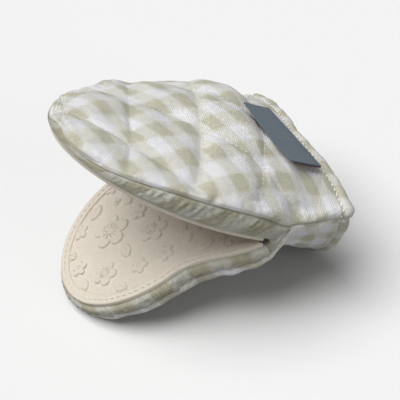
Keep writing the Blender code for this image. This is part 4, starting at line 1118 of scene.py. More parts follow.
@dataclass
class PalmWall:
    """The palm cloth of one jaw: a soft wall from the seam down to the grip, and the floor behind the grip."""

    shop: Workshop
    name: str
    jaw: Jaw
    outline: Callable[[np.ndarray, float], np.ndarray]
    seam: Callable[[np.ndarray, np.ndarray], np.ndarray]
    length: float
    rear_top: float
    body: Body
    nodes: Sequence[str]
    seed: int
    steps: int = 150

    def path(self, start: float, inset: np.ndarray | float) -> tuple[np.ndarray, np.ndarray, np.ndarray]:
        """The outline from the near rear end round the tip to the far one, moved in by inset, and its s."""
        margin = self.shop.form.margin
        s = spaced(start, self.length + margin, self.steps)
        y = self.outline(s, margin)
        slope = np.gradient(y, s)
        slope[-1] = slope[-2] * 4
        tilt = np.hypot(1, slope)
        along = np.maximum(s + inset * slope / tilt, start)
        side = np.maximum(y - inset / tilt, 0)
        side[-1] = 0
        s_all = np.concatenate([s, s[-2::-1]])
        return np.concatenate([along, along[-2::-1]]), np.concatenate([-side, side[-2::-1]]), s_all

    def build(self) -> bpy.types.Object:
        """The wall and floor as one sheet.

        Columns go from inside the seam's crease, out over the rolled top edge, down the wall and in under the
        grip to the middle line. The wall bulges by a sine wave over its height, and shallow puckers run down
        it from the crease, strongest at the top.
        """
        form = self.shop.form
        base = form.rim_rise + form.sheet + 0.15 * MM
        levels = [(2.3, 1.0, 0), (1.4, 1.0, 0), (0.6, 0.96, 0.1), (0.1, 0.90, 0.3)]
        levels += [(0.0, 1 - k / 14, math.sin(k / 14 * math.pi)) for k in range(2, 13)]
        levels += [(0.1, 0.10, 0.2), (0.5, 0.04, 0.1), (1.2, 0.0, 0), (4.0, 0.0, 0)]
        columns, flat = [], []
        rear = self.rear_top
        for inset, level, bulge in levels:
            start = rear * level
            along, side, s = self.path(start, inset * MM)
            top = self.seam(s, side) - 0.5 * MM
            n = base + (top - base) * level
            pucker = soft_noise(np.arange(len(s)) * 1.9 * MM, np.full(len(s), level * 9 * MM), 8 * MM, self.seed)
            fine = soft_noise(np.arange(len(s)) * 1.9 * MM, np.full(len(s), level * 6 * MM), 3.4 * MM, self.seed + 1)
            push = (0.9 * bulge + 0.5 * pucker * (0.3 + 0.7 * level) * min(bulge * 3, 1) + 0.16 * fine * bulge) * MM
            push *= np.clip((top - base) / (7 * MM), 0, 1)
            out = unit(np.stack([np.gradient(side), -np.gradient(along)], axis=-1))
            columns.append(stack(along + out[:, 0] * push, side + out[:, 1] * push, n))
            flat.append(np.stack([np.cumsum(np.hypot(np.gradient(along), np.gradient(side))), n + 0 * s], axis=-1))
        grid = np.stack(columns, axis=1)
        middle = grid[:, -1].copy()
        middle[:, 1] = 0
        middle[:, 0] = np.minimum(middle[:, 0], self.length - 20 * MM)
        for share in (0.35, 0.7, 1.0):
            grid = np.concatenate([grid, (grid[:, len(levels) - 1] * (1 - share) + middle * share)[:, None]], axis=1)
            flat.append(flat[len(levels) - 1] + [0, share * 20 * MM])
        world = self.shop.world(self.jaw.place(grid))
        inside = self.shop.world(self.jaw.place(np.array([30 * MM, 0, 9 * MM])))
        cloth = np.stack(flat, axis=1)
        checks = (cloth - [0, 8 * MM]) / [1.35 * CHECK_PERIOD, 1.8 * CHECK_PERIOD] + [0.3, 0]
        piece = surface(f"{self.name}_palm_cloth_sewn", world, inside, cloth, checks)
        thicken(piece, form.cloth * 0.8)
        # The palm finish is darker than the cover's gingham: painted shade on this wall.
        self.shop.keep(piece, self.shop.finishes.palm, Slot.PALM, self.nodes)
        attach(piece, self.body.value)
        return piece

    def padding(self) -> None:
        """The heat barrier behind the palm cloth and the lining over it, as shallow closed trays."""
        form = self.shop.form
        for word, low, high, finish, slot, inset in (
            ("wadding", 3.6, 5.4, self.shop.finishes.wadding, Slot.WADDING, 1.4),
            ("lining", 5.7, 6.3, self.shop.finishes.lining, Slot.LINING, 3.0),
        ):
            sides = []
            for floor, way in ((low, inset), (high, inset + 0.9)):
                rings = []
                for shift, level in ((0, 1.0), (0.1, 0.5), (0.2, 0.15), (1.2, 0.0), (12, 0.0), (24, 0.0)):
                    along, side, s = self.path(self.rear_top * level, (way + shift) * MM)
                    top = np.maximum(self.seam(s, side) - 0.9 * MM, (high + 0.3) * MM)
                    rings.append(stack(along, side, floor * MM + (top - floor * MM) * level))
                middle = rings[-1] * (1, 0, 1)
                sides.append(np.stack(rings + [middle], axis=1))
            outer, inner = (self.shop.world(self.jaw.place(side)) for side in sides)
            piece = shell(f"{self.name}_palm_{word}_layer", outer, inner)
            lay_flat(piece, 0)
            self.shop.keep(piece, finish, slot, [f"{self.name}_palm_{word}"])
            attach(piece, self.body.value)


@dataclass
class LowerPanel:
    """The lower cover: one panel of cloth from the cuff under the heel and out under the thumb to its tip."""

    shop: Workshop
    heel_rows: int = 60
    turn_rows: int = 26
    lobe_rows: int = 150
    columns: int = 161
    depth_fold: float = 30 * MM
    depth_mid: float = 22 * MM
    depth_tip: float = 17.5 * MM
    ridge_end: float = 20 * MM

    def crown(self, roll: Sequence[tuple[float, float]], scale: float = 1.0) -> np.ndarray:
        """The smooth panel.

        Behind the fold a row goes from its side point to its bottom point with a power of the cosine of the
        turn, which draws the cuff to a soft keel. Under the thumb it is half an ellipse in the jaw's own
        coordinates, as on the finger back.
        """
        form = self.shop.form
        heel, round_, lobe = (max(int(count * scale), 6) for count in (self.heel_rows, self.turn_rows, self.lobe_rows))
        turn, inward, beyond = tucked(int(self.columns * scale) // 2 * 2 + 1, roll)
        sine, cosine = np.sin(turn)[None], np.cos(turn)[None]
        rear = form.thumb.place(np.array([0, 0, form.thumb_wall_fold]))
        wide = form.half_width + form.margin
        t = np.linspace(0, 1, heel, endpoint=False)
        side_x = [form.cuff_x + (form.junction[0] - form.cuff_x) * t]
        side_z = [form.cuff_side - 0.3 * MM + (form.junction[1] - form.cuff_side) * t]
        side_y = [form.cuff_half_width + (wide - form.cuff_half_width) * t]
        t = np.linspace(0, 1, round_, endpoint=False)
        side_x.append(form.junction[0] + (rear[0] - form.junction[0]) * t)
        side_z.append(form.junction[1] - 0.3 * MM + (rear[2] - form.junction[1] + 0.3 * MM) * t)
        side_y.append(np.full(round_, wide))
        side_x, side_z, side_y = (np.concatenate(part) for part in (side_x, side_z, side_y))
        blur = 9
        smooth = [np.convolve(np.pad(part, blur // 2, mode="reflect", reflect_type="odd"), np.ones(blur) / blur, "valid")
                  for part in (side_x, side_z, side_y)]
        side_x, side_z, side_y = smooth
        under = form.thumb.place(np.array([0, 0, self.depth_fold]))
        share = np.linspace(0, 1, heel + round_ + 1)[:-1]
        bottom_x = form.cuff_x + (under[0] - form.cuff_x) * share
        bottom_z = form.cuff_bottom + (under[2] - form.cuff_bottom) * (0.9 * share + 0.1 * share**2)
        keel = 1 + 0.4 * (1 - share)[:, None]
        rise = cosine**keel
        x = side_x[:, None] + (bottom_x - side_x)[:, None] * rise
        z = side_z[:, None] + (bottom_z - side_z)[:, None] * rise + beyond[None]
        y = side_y[:, None] * sine * (1 - inward[None] / side_y[:, None])
        back = stack(x, y, z)
        tip = form.thumb_length + form.margin
        s = spaced(0, tip, lobe)
        seam_y = form.thumb_outline(s, form.margin)
        end = tip - self.ridge_end
        ridge_s = spaced(0, end, lobe)
        depth = smooth_through(ridge_s, [0, form.thumb_length / 2, end], [self.depth_fold, self.depth_mid, self.depth_tip])
        seam_n = form.thumb_seam(s, seam_y) + 0.3 * MM
        span = np.hypot(s - ridge_s, seam_y)
        draw = 1 - inward[None] / np.maximum(span, 4 * MM)[:, None]
        along = ridge_s[:, None] + (s - ridge_s)[:, None] * np.abs(sine) * draw
        across = seam_y[:, None] * sine * draw
        down = seam_n[:, None] + (depth - seam_n)[:, None] * cosine - beyond[None]
        front = form.thumb.place(stack(along, across, down))
        grid = np.concatenate([back, front])
        join = len(back)
        kernel = np.ones(7) / 7
        low, high = join - 12, join + 12
        piece = grid[low - 3:high + 3]
        mean = sum(piece[k:len(piece) - 6 + k] * kernel[k] for k in range(7))
        weight = np.sin(np.linspace(0, math.pi, high - low))[:, None, None] if scale == 1 else 0
        grid[low:high] = grid[low:high] * (1 - weight) + mean * weight if scale == 1 else grid[low:high]
        return grid

    def cloth_map(self, grid: np.ndarray) -> np.ndarray:
        """Flat coordinates: the way along the bottom line, and the arc across from it."""
        middle = grid[:, grid.shape[1] // 2]
        run = np.cumsum(np.linalg.norm(np.diff(middle, axis=0, prepend=middle[:1]), axis=-1))
        return np.stack([np.broadcast_to(run[:, None], grid.shape[:2]), across_arc(grid)], axis=-1)

    @staticmethod
    def waist(grid: np.ndarray) -> np.ndarray:
        """How far the padding is drawn in beside the fold: a bell curve along the panel, none at its seams."""
        arc = across_arc(grid)
        to_seam = np.minimum(arc - arc[:, :1], arc[:, -1:] - arc)
        return 3.4 * MM * np.exp(-((grid[..., 0] - 8 * MM) / (18 * MM)) ** 2) * ease(to_seam / (9 * MM))

    def build(self) -> np.ndarray:
        """The cover with its puckers, the padding under it and its lining.

        Returns:
            The cover's points in the hinge frame, with its rolled columns.
        """
        form = self.shop.form
        count = len(SEAM_ROLL)
        full = self.crown(SEAM_ROLL)
        base = full[:, count:-count]
        normal = outward(base, np.array([0.01, 0, -0.012]))
        cloth = self.cloth_map(full)
        flat = cloth[:, count:-count]
        arc = flat[..., 1]
        to_seam = np.minimum(arc - arc[:, :1], arc[:, -1:] - arc)
        rows = np.linspace(0, 1, len(base))[:, None]
        calm = ease(rows * 9)
        gather = soft_noise(flat[..., 0], arc * 0.25, 8 * MM, 31) * np.exp(-to_seam / (6 * MM)) * 0.6 * MM
        swell = 1.3 * MM * np.exp(-((to_seam - 4.5 * MM) / (4 * MM)) ** 2)
        broad = soft_noise(flat[..., 0], arc, 19 * MM, 33) * 0.6 * MM + soft_noise(flat[..., 0], arc, 8 * MM, 34) * 0.18 * MM
        height = ((gather + swell) * ease(to_seam / (1.5 * MM)) + broad * ease(to_seam / (8 * MM))) * calm
        height = height - self.waist(base)
        full[:, count:-count] = base + normal * height[..., None]
        full = form.settle(full)
        piece = surface("lower_cover_panel", self.shop.world(full), self.shop.world(np.array([0.01, 0, -0.012])), cloth)
        thicken(piece, form.cloth)
        self.shop.keep(piece, self.shop.finishes.gingham, Slot.GINGHAM, ["heel_cover", "thumb_cover"])
        self.bend(piece)
        self.layers()
        return full

    def bend(self, piece: bpy.types.Object) -> None:
        """Hands the piece to across_fold, with the junction and the thumb's rear edge as its two points."""
        self.shop.across_fold(piece, (13.3 * MM, 0), (3.0 * MM, 0))

    def layers(self) -> None:
        """The wadding and the lining inside the lower cover."""
        form = self.shop.form
        base = self.crown([], 0.4)
        normal = outward(base, np.array([0.01, 0, -0.012]))
        flat = self.cloth_map(base)
        columns = base.shape[1]
        across = np.clip((1 - np.abs(np.linspace(-1, 1, columns))) * 1.6, 0, 1)[None] ** 0.7
        down = np.clip(np.linspace(0, 1, len(base)) * 6, 0, 1)[:, None] ** 0.5
        under = form.cloth + 0.6 * MM + self.waist(base)
        fill = np.maximum(1.3 * MM + 3.3 * MM * across * down - self.waist(base), 0.8 * MM)

        def sunk(depth: np.ndarray | float) -> np.ndarray:
            """The panel moved inwards by a depth, and kept over the standing surface."""
            settled = form.settle(base)
            return self.shop.world(settled - normal * np.broadcast_to(depth, fill.shape)[..., None])

        pad = shell("lower_wadding_pad", sunk(under), sunk(under + fill))
        self.shop.keep(pad, self.shop.finishes.wadding, Slot.WADDING, ["heel_wadding", "thumb_wadding"])
        self.bend(pad)
        crumple = soft_noise(flat[..., 0], flat[..., 1], 12 * MM, 41) * 0.35 * MM
        lining = surface("lower_pocket_lining", sunk(under + 0.3 * MM + fill + np.abs(crumple)),
                         self.shop.world(np.array([0, 0, -0.2])), flat)
        thicken(lining, 0.4 * MM)
        self.shop.keep(lining, self.shop.finishes.lining, Slot.LINING, ["heel_lining", "thumb_lining"])
        self.bend(lining)


@dataclass
class FoldGusset:
    """The palm cloth at the fold: a strip between the grips with a cheek that closes each side."""

    shop: Workshop
    rows: int = 40

    def build(self) -> None:
        """The gusset and the padding and lining behind it.

        A row starts at the side seam, comes in to the fold's axis and crosses to the far side. Its foot turns
        round the axis from the thumb palm to the finger palm, while its top follows the seam up to the junction.
        """
        form = self.shop.form
        start, end = 19.1 * DEG + math.pi / 2, 3 * math.pi / 2 - 28.6 * DEG
        angle = np.linspace(start, end, self.rows)
        rear = form.thumb.place(np.array([0, 0, form.thumb_wall_fold]))
        t = ease(np.linspace(0, 1, self.rows) * 1.15)
        top_x = rear[0] + (form.junction[0] - rear[0]) * t
        top_z = rear[2] + (form.junction[1] - 0.2 * MM - rear[2]) * t
        floor = form.rim_rise + form.sheet + 0.15 * MM
        wide = form.half_width + form.margin - 0.5 * MM
        columns, flat = [], []
        foot = floor + 0.9 * MM
        for share in np.linspace(1, 0, 11):
            x = -foot * np.cos(angle) * (1 - share) + top_x * share
            z = -foot * np.sin(angle) * (1 - share) + top_z * share
            wave = soft_noise(angle * 6 * MM, np.full(self.rows, share * 8 * MM), 6 * MM, 51) * 0.35 * MM
            puff = math.sin(share * math.pi) * 0.8 * MM
            tuck = 1.6 * MM * ease((share - 0.82) / 0.18)
            columns.append(stack(x, -(wide + puff + wave * math.sin(share * math.pi) - tuck), z))
            flat.append(np.stack([angle * 7 * MM, np.full(self.rows, share * 10 * MM)], axis=-1))
        for inward in (0.5, 1.2, 3.0, 20.0, 40.0, 61.7):
            radius = floor + 0.5 * MM * (inward < 1)
            columns.append(stack(-radius * np.cos(angle), -(wide - inward * MM), -radius * np.sin(angle)))
            flat.append(np.stack([angle * 7 * MM, np.full(self.rows, -inward * MM)], axis=-1))
        half, flat_half = np.stack(columns, axis=1), np.stack(flat, axis=1)
        grid = np.concatenate([half, (half * (1, -1, 1))[:, ::-1]], axis=1)
        cloth = np.concatenate([flat_half, flat_half[:, ::-1]], axis=1)
        piece = surface("fold_gusset_cloth", self.shop.world(grid), self.shop.world(np.array([0.012, 0, 0])), cloth)
        thicken(piece, form.cloth * 0.8)
        # The palm finish is darker than the cover's gingham: painted shade on the gusset in the fold.
        self.shop.keep(piece, self.shop.finishes.palm, Slot.PALM, ["fold_cloth"])
        self.bend(piece)
        for name, low, high, finish, slot in (
            ("wadding", 3.7, 5.5, self.shop.finishes.wadding, Slot.WADDING),
            ("lining", 5.8, 6.3, self.shop.finishes.lining, Slot.LINING),
        ):
            y = np.linspace(-57 * MM, 57 * MM, 41)
            sides = [self.shop.world(stack(-r * MM * np.cos(angle)[:, None], y[None], -r * MM * np.sin(angle)[:, None]))
                     for r in (low, high)]
            strip = shell(f"fold_{name}_strip", *sides)
            lay_flat(strip, 1)
            self.shop.keep(strip, finish, slot, [f"fold_{name}"])
            self.bend(strip)

    def bend(self, piece: bpy.types.Object) -> None:
        """Hands the piece to across_fold, with the junction and the thumb's rear edge as its two points."""
        self.shop.across_fold(piece, (0, 4.5 * MM), (0, -8.6 * MM))


class Motif(Enum):
    """Generic relief shapes of the grips."""

    BLOSSOM = "blossom"
    STAR_FLOWER = "star flower"
    LEAF = "leaf"
    PETAL_PAIR = "petal pair"


def cut_edge(inside: np.ndarray, width: float = 0.45 * MM) -> np.ndarray:
    """1 inside a shape and 0 outside it, from the distance into it, with a steep edge of the given width."""
    return ease(inside / width + 0.5)


def around(angle: np.ndarray, reach: np.ndarray, count: int, shift: float = 0.0) -> tuple[np.ndarray, np.ndarray]:
    """Polar places folded into one of count equal sectors: the way out along its middle line, and across it."""
    sector = 2 * math.pi / count
    folded = (angle + shift * sector) % sector - sector / 2
    return reach * np.cos(folded), reach * np.sin(folded)


@dataclass(frozen=True)
class Relief:
    """One raised shape on a grip: its kind, its place in mm from the fold and the middle, its turn and size."""

    kind: Motif
    along: float
    across: float
    turn: float
    size: float = 1.0

    def height(self, s: np.ndarray, y: np.ndarray) -> np.ndarray:
        """Height of the shape over the field, as a share of the full relief.

        A blossom is five discs round a cup with ten stamens: capsules from the heart with a dot at each end.
        A leaf is where two discs overlap, cut along half of its midrib. A petal pair is two discs on a stem.
        """
        ds, dy = (s - self.along * MM) / self.size, (y - self.across * MM) / self.size
        c, w = math.cos(self.turn * DEG), math.sin(self.turn * DEG)
        u, v = ds * c + dy * w, dy * c - ds * w
        reach, angle = np.hypot(u, v), np.arctan2(v, u)
        if self.kind is Motif.LEAF:
            inside = 6.3 * MM - np.hypot(u, np.abs(v) + 2.8 * MM)
            rib = np.minimum(0.35 * MM - np.abs(v), 1.2 * MM - u)
            return cut_edge(inside) * (1 - 0.6 * cut_edge(rib, 0.3 * MM)) * (1 + 0.02 * inside / MM)
        if self.kind is Motif.PETAL_PAIR:
            lobes = 3.1 * MM - np.hypot(u - 1.2 * MM - 0.35 * np.abs(v), np.abs(v) - 2.7 * MM)
            stem = np.minimum(0.5 * MM - np.abs(v), 3.0 * MM - np.abs(u + 2.9 * MM))
            twig = np.minimum(0.4 * MM - np.abs(np.abs(v) - 0.7 * (-u - 1.2 * MM)), 2.4 * MM - np.abs(u + 3.2 * MM))
            return cut_edge(np.maximum(np.maximum(stem, twig), lobes))
        if self.kind is Motif.STAR_FLOWER:
            out, side = around(angle, reach, 5)
            petal = 1.75 * MM - np.hypot((out - 2.9 * MM) * 0.85, side)
            dot = cut_edge(0.7 * MM - reach, 0.3 * MM)
            return np.maximum(cut_edge(np.maximum(petal, 1.5 * MM - reach)) * (1 - 0.5 * cut_edge(1.3 * MM - reach)), dot)
        out, side = around(angle, reach, 5)
        petal = cut_edge(3.1 * MM - np.hypot(out - 5.3 * MM, side))
        cup = cut_edge(3.7 * MM - reach)
        out, side = around(angle, reach, 10, 0.5)
        stamen = 0.36 * MM - np.hypot(side, np.maximum(np.abs(out - 2.7 * MM) - 1.6 * MM, 0))
        dots = 0.62 * MM - np.hypot(out - 4.5 * MM, side)
        middle = np.maximum(stamen, np.maximum(dots, 1.1 * MM - reach))
        return np.maximum(np.maximum(petal, cup) * (1 - 0.7 * cup), 1.12 * cut_edge(middle, 0.35 * MM))


def scatter(*places: tuple[Motif, Sequence[tuple[float, ...]]]) -> list[Relief]:
    """Reliefs from rows of (along, across, turn, size), one list for each kind."""
    return [Relief(kind, *place) for kind, rows in places for place in rows]


THUMB_RELIEFS = scatter(
    (Motif.BLOSSOM, [(64, 10, 10, 1.28), (78, -13, 40, 0.86), (44, -8, 20, 1.0), (27, 24, 5, 1.18), (12, -24, 30, 0.9)]),
    (Motif.STAR_FLOWER, [(89, 3, 12, 0.95), (79, 25, 0, 1.0), (60, -24, 30, 1.0), (46, 9, 8, 1.0), (45, -28, 50, 1.0),
                         (27, -9, 15, 1.0), (12, 8, 0, 1.0), (14, -44, 33, 1.0), (52, 37, 20, 0.8)]),
    (Motif.LEAF, [(90, 15, 60, 0.8), (62, -9, 100, 0.85), (74, -28, 70, 0.85), (66, 29, -30, 0.9), (32, 6, 30, 0.95),
                  (34, 39, 80, 0.85), (26, -39, 10, 0.95), (15, -6, 80, 0.9), (11, 43, 50, 0.95), (9, 25, 100, 0.9),
                  (91, -10, 130, 0.7)]),
    (Motif.PETAL_PAIR, [(49, 25, 200, 0.95), (29, -25, 250, 0.95)]),
)
FINGER_RELIEFS = scatter(
    (Motif.BLOSSOM, [(76, 16, 30, 1.05), (58, -22, 0, 1.25), (40, 20, 15, 1.2), (20, -16, 50, 1.1)]),
    (Motif.STAR_FLOWER, [(89, -6, 0, 1.0), (76, -24, 20, 1.0), (62, 2, 12, 1.05), (58, 38, 0, 1.0), (43, -4, 40, 1.0),
                         (40, -42, 10, 1.05), (24, 42, 30, 1.05), (22, 6, 15, 1.0), (8, -38, 35, 1.0)]),
    (Motif.LEAF, [(90, 7, 70, 0.75), (74, -6, 20, 0.9), (58, 22, -40, 0.75), (41, -24, 80, 0.8), (42, 41, 60, 0.95),
                  (24, -38, 110, 0.95), (21, 25, 30, 0.9), (7, -16, 80, 0.85), (7, 13, 100, 0.9), (8, 34, 60, 0.9)]),
    (Motif.PETAL_PAIR, [(62, -42, 140, 0.9), (29, -1, 80, 0.75), (74, 34, 220, 0.75)]),
)


@dataclass
class GripPad:
    """A moulded silicone pad: a thin sheet with a raised, stitched rim and low relief on its face."""

    shop: Workshop
    name: str
    jaw: Jaw
    outline: Callable[[np.ndarray, float], np.ndarray]
    length: float
    reliefs: Sequence[Relief]
    body: Body
    rows: int = 318
    half_columns: int = 132
    motif_rise: float = 1.3 * MM

    def ring(self, shift: float, height: float, rows: int) -> tuple[np.ndarray, np.ndarray, np.ndarray]:
        """The outline moved in by shift, at one height, as (s, y, n) of its near half."""
        form = self.shop.form
        first = 1.2 * MM
        s = spaced(first, self.length, rows)
        y = self.outline(s, 0)
        slope = np.gradient(y, s)
        slope[-1] = slope[-2] * 4
        tilt = np.hypot(1, slope)
        along = np.maximum(s + shift * slope / tilt, first + min(shift, 0.6 * MM))
        side = np.maximum(y - shift / tilt, 0)
        side[-1] = 0
        return along, -side, np.full(rows, height)

    def face(self) -> np.ndarray:
        """The near half of the face: round the edge, over the rim, down to the field and across to the middle."""
        form = self.shop.form
        rise, width = form.rim_rise, form.rim_width
        edge = width / MM
        profile = [(0, rise + form.sheet), (0, rise + 0.8 * MM), (0.02, rise * 0.55), (0.15, rise * 0.28),
                   (0.4, rise * 0.08), (0.8, 0), (2.1, 0.02 * MM), (2.5, 0.10 * MM), (2.9, 0.10 * MM), (3.3, 0.02 * MM),
                   (edge - 0.9, 0), (edge - 0.5, rise * 0.05), (edge - 0.25, rise * 0.3), (edge - 0.1, rise * 0.9),
                   (edge, rise + 0.35 * MM), (edge + 0.25, rise + 0.42 * MM), (edge + 0.6, rise + 0.2 * MM),
                   (edge + 0.9, rise)]
        rings = [stack(*self.ring(shift * MM, height, self.rows)) for shift, height in profile]
        last = rings[-1]
        middle = stack(spaced(last[0, 0], self.length - 20 * MM, self.rows), 0, rise)
        share = np.linspace(0, 1, self.half_columns)[1:, None, None]
        return np.concatenate([np.stack(rings), last[None] * (1 - share) + middle[None] * share]).transpose(1, 0, 2)

    def raised(self, s: np.ndarray, y: np.ndarray) -> np.ndarray:
        """Height of the relief: the highest of the shapes at each place, lower beside the fold, where grips meet."""
        return np.max([relief.height(s, y) for relief in self.reliefs], axis=0) * self.motif_rise * ease(s / (15 * MM))

    def build(self) -> None:
        """The pad with its relief, and the running stitch round its rim."""
        form = self.shop.form
        near = self.face()
        full = np.concatenate([near, (near * (1, -1, 1))[:, -2::-1]], axis=1)
        inset = self.raised(full[..., 0], full[..., 1])
        flat_field = np.isclose(full[..., 2], form.rim_rise, atol=1e-7)
        full[..., 2] -= inset * flat_field
        dimple = soft_noise(full[..., 0], full[..., 1], 22 * MM, 61) * 0.12 * MM
        full[..., 2] += dimple * flat_field
        back = full[:, [0, -1]].copy()
        grid = np.concatenate([full, back[:, 1:]], axis=1)
        world = self.shop.world(self.jaw.place(grid))
        inside = self.shop.world(self.jaw.place(np.array([40 * MM, 0, 40 * MM])))
        piece = surface(f"{self.name}_grip_moulded", world, inside, merge=2e-6)
        self.shop.keep(piece, self.shop.finishes.silicone, Slot.SILICONE, [f"{self.name}_grip"])
        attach(piece, self.body.value)
        along, side, level = self.ring(2.7 * MM, -0.01 * MM, 400)
        path = stack(np.concatenate([along, along[-2::-1]]), np.concatenate([side, -side[-2::-1]]),
                     np.concatenate([level, level[-2::-1]]))
        step = np.linalg.norm(np.diff(path, axis=0), axis=1)
        path = path[np.concatenate([[True], step > 1e-7]) & (path[:, 0] > 10 * MM)]
        place = self.jaw.place(path)
        up = unit(place - self.jaw.place(path + (0, 0, 1 * MM)))
        thread = stitch_run(f"{self.name}_rim_stitches", self.shop.world(place), up, 3.7 * MM, 2.7 * MM, 0.36 * MM, 0.3 * MM)
        self.shop.keep(thread, self.shop.finishes.pad_thread, Slot.SILICONE)
        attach(thread, self.body.value)


@dataclass
class CuffHem:
    """The turned hem round the hand opening, with its line of stitches."""

    shop: Workshop
    width: float = 8.8 * MM
    depth: float = 5.4 * MM

    def build(self, upper: np.ndarray, lower: np.ndarray) -> None:
        """The hem as a soft folded band carried round the covers' open edges.

        Its section starts in the stitched valley, swells outwards, turns over a rounded edge and comes back
        inside. Small waves run round it, strongest beside the stitches.

        Args:
            upper: the finger cover's points in the hinge frame, without its rolled columns.
            lower: the lower cover's points, without its rolled columns.
        """
        form = self.shop.form
        path = np.concatenate([upper[0], lower[0][::-1][1:-1]])
        behind = np.concatenate([upper[6], lower[4][::-1][1:-1]])
        ahead = unit(path - behind)
        ahead[:, 1] *= 0.5
        ahead = unit(ahead)
        kernel = np.ones(9) / 9
        wrap = np.concatenate([ahead[-4:], ahead, ahead[:4]])
        ahead = unit(np.stack([np.convolve(wrap[:, k], kernel, "valid") for k in range(3)], axis=1))
        along = unit(np.roll(path, -1, axis=0) - np.roll(path, 1, axis=0))
        inward = unit(np.cross(along, ahead))
        centre = np.array([form.cuff_x, 0, -15 * MM])
        inward *= np.sign(np.sum(inward * (centre - path)))
        wrap = np.concatenate([inward[-4:], inward, inward[:4]])
        inward = unit(np.stack([np.convolve(wrap[:, k], kernel, "valid") for k in range(3)], axis=1))
        run = np.cumsum(np.linalg.norm(np.diff(path, axis=0, prepend=path[-1:]), axis=1))
        share = [(-0.14, 0.23), (-0.05, 0.21), (0.01, 0.16), (0.08, 0.05), (0.19, -0.11), (0.35, -0.20), (0.53, -0.20),
                 (0.72, -0.10), (0.88, 0.10), (0.97, 0.33), (1.0, 0.54), (0.95, 0.77), (0.81, 0.94), (0.64, 1.0),
                 (0.40, 1.0), (0.13, 1.0), (-0.13, 1.02)]
        section = np.array(share) * (self.width, self.depth)
        travelled = np.cumsum(np.linalg.norm(np.diff(section, axis=0, prepend=section[:1]), axis=1))
        part = np.clip(section[:, :1] / self.width, 0, 1)
        wave = soft_noise(run, section[:, :1], 9 * MM, 71) * 0.45 * MM * np.sin(part * math.pi)
        edge = soft_noise(run, 0 * run, 26 * MM, 72) * 0.7 * MM * part
        grid = form.settle(path + ahead * (section[:, :1] + edge)[..., None] + inward * (section[:, 1:] + wave)[..., None])
        cloth = stack(travelled[:, None] - 40 * MM, run, 0)[..., :2]
        grid = np.concatenate([grid, grid[:, :1]], axis=1)
        cloth = np.concatenate([cloth, cloth[:, -1:] + [0, 0.001]], axis=1)
        piece = surface("cuff_hem_band", self.shop.world(grid), self.shop.world(centre), cloth)
        thicken(piece, form.cloth * 0.7)
        self.shop.keep(piece, self.shop.finishes.gingham, Slot.GINGHAM, ["cuff_hem"])
        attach(piece, Body.FINGERS.value)
        valley = path + ahead * (0.05 * MM) + inward * (0.55 * MM)
        closed = form.settle(np.concatenate([valley, valley[:1]]))
        thread = stitch_run("hem_stitches", self.shop.world(closed), -np.concatenate([inward, inward[:1]]), 3.1 * MM,
                            2.6 * MM, 0.42 * MM, 0.75 * MM)
        self.shop.keep(thread, self.shop.finishes.seam_thread, Slot.GINGHAM)
        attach(thread, Body.FINGERS.value)


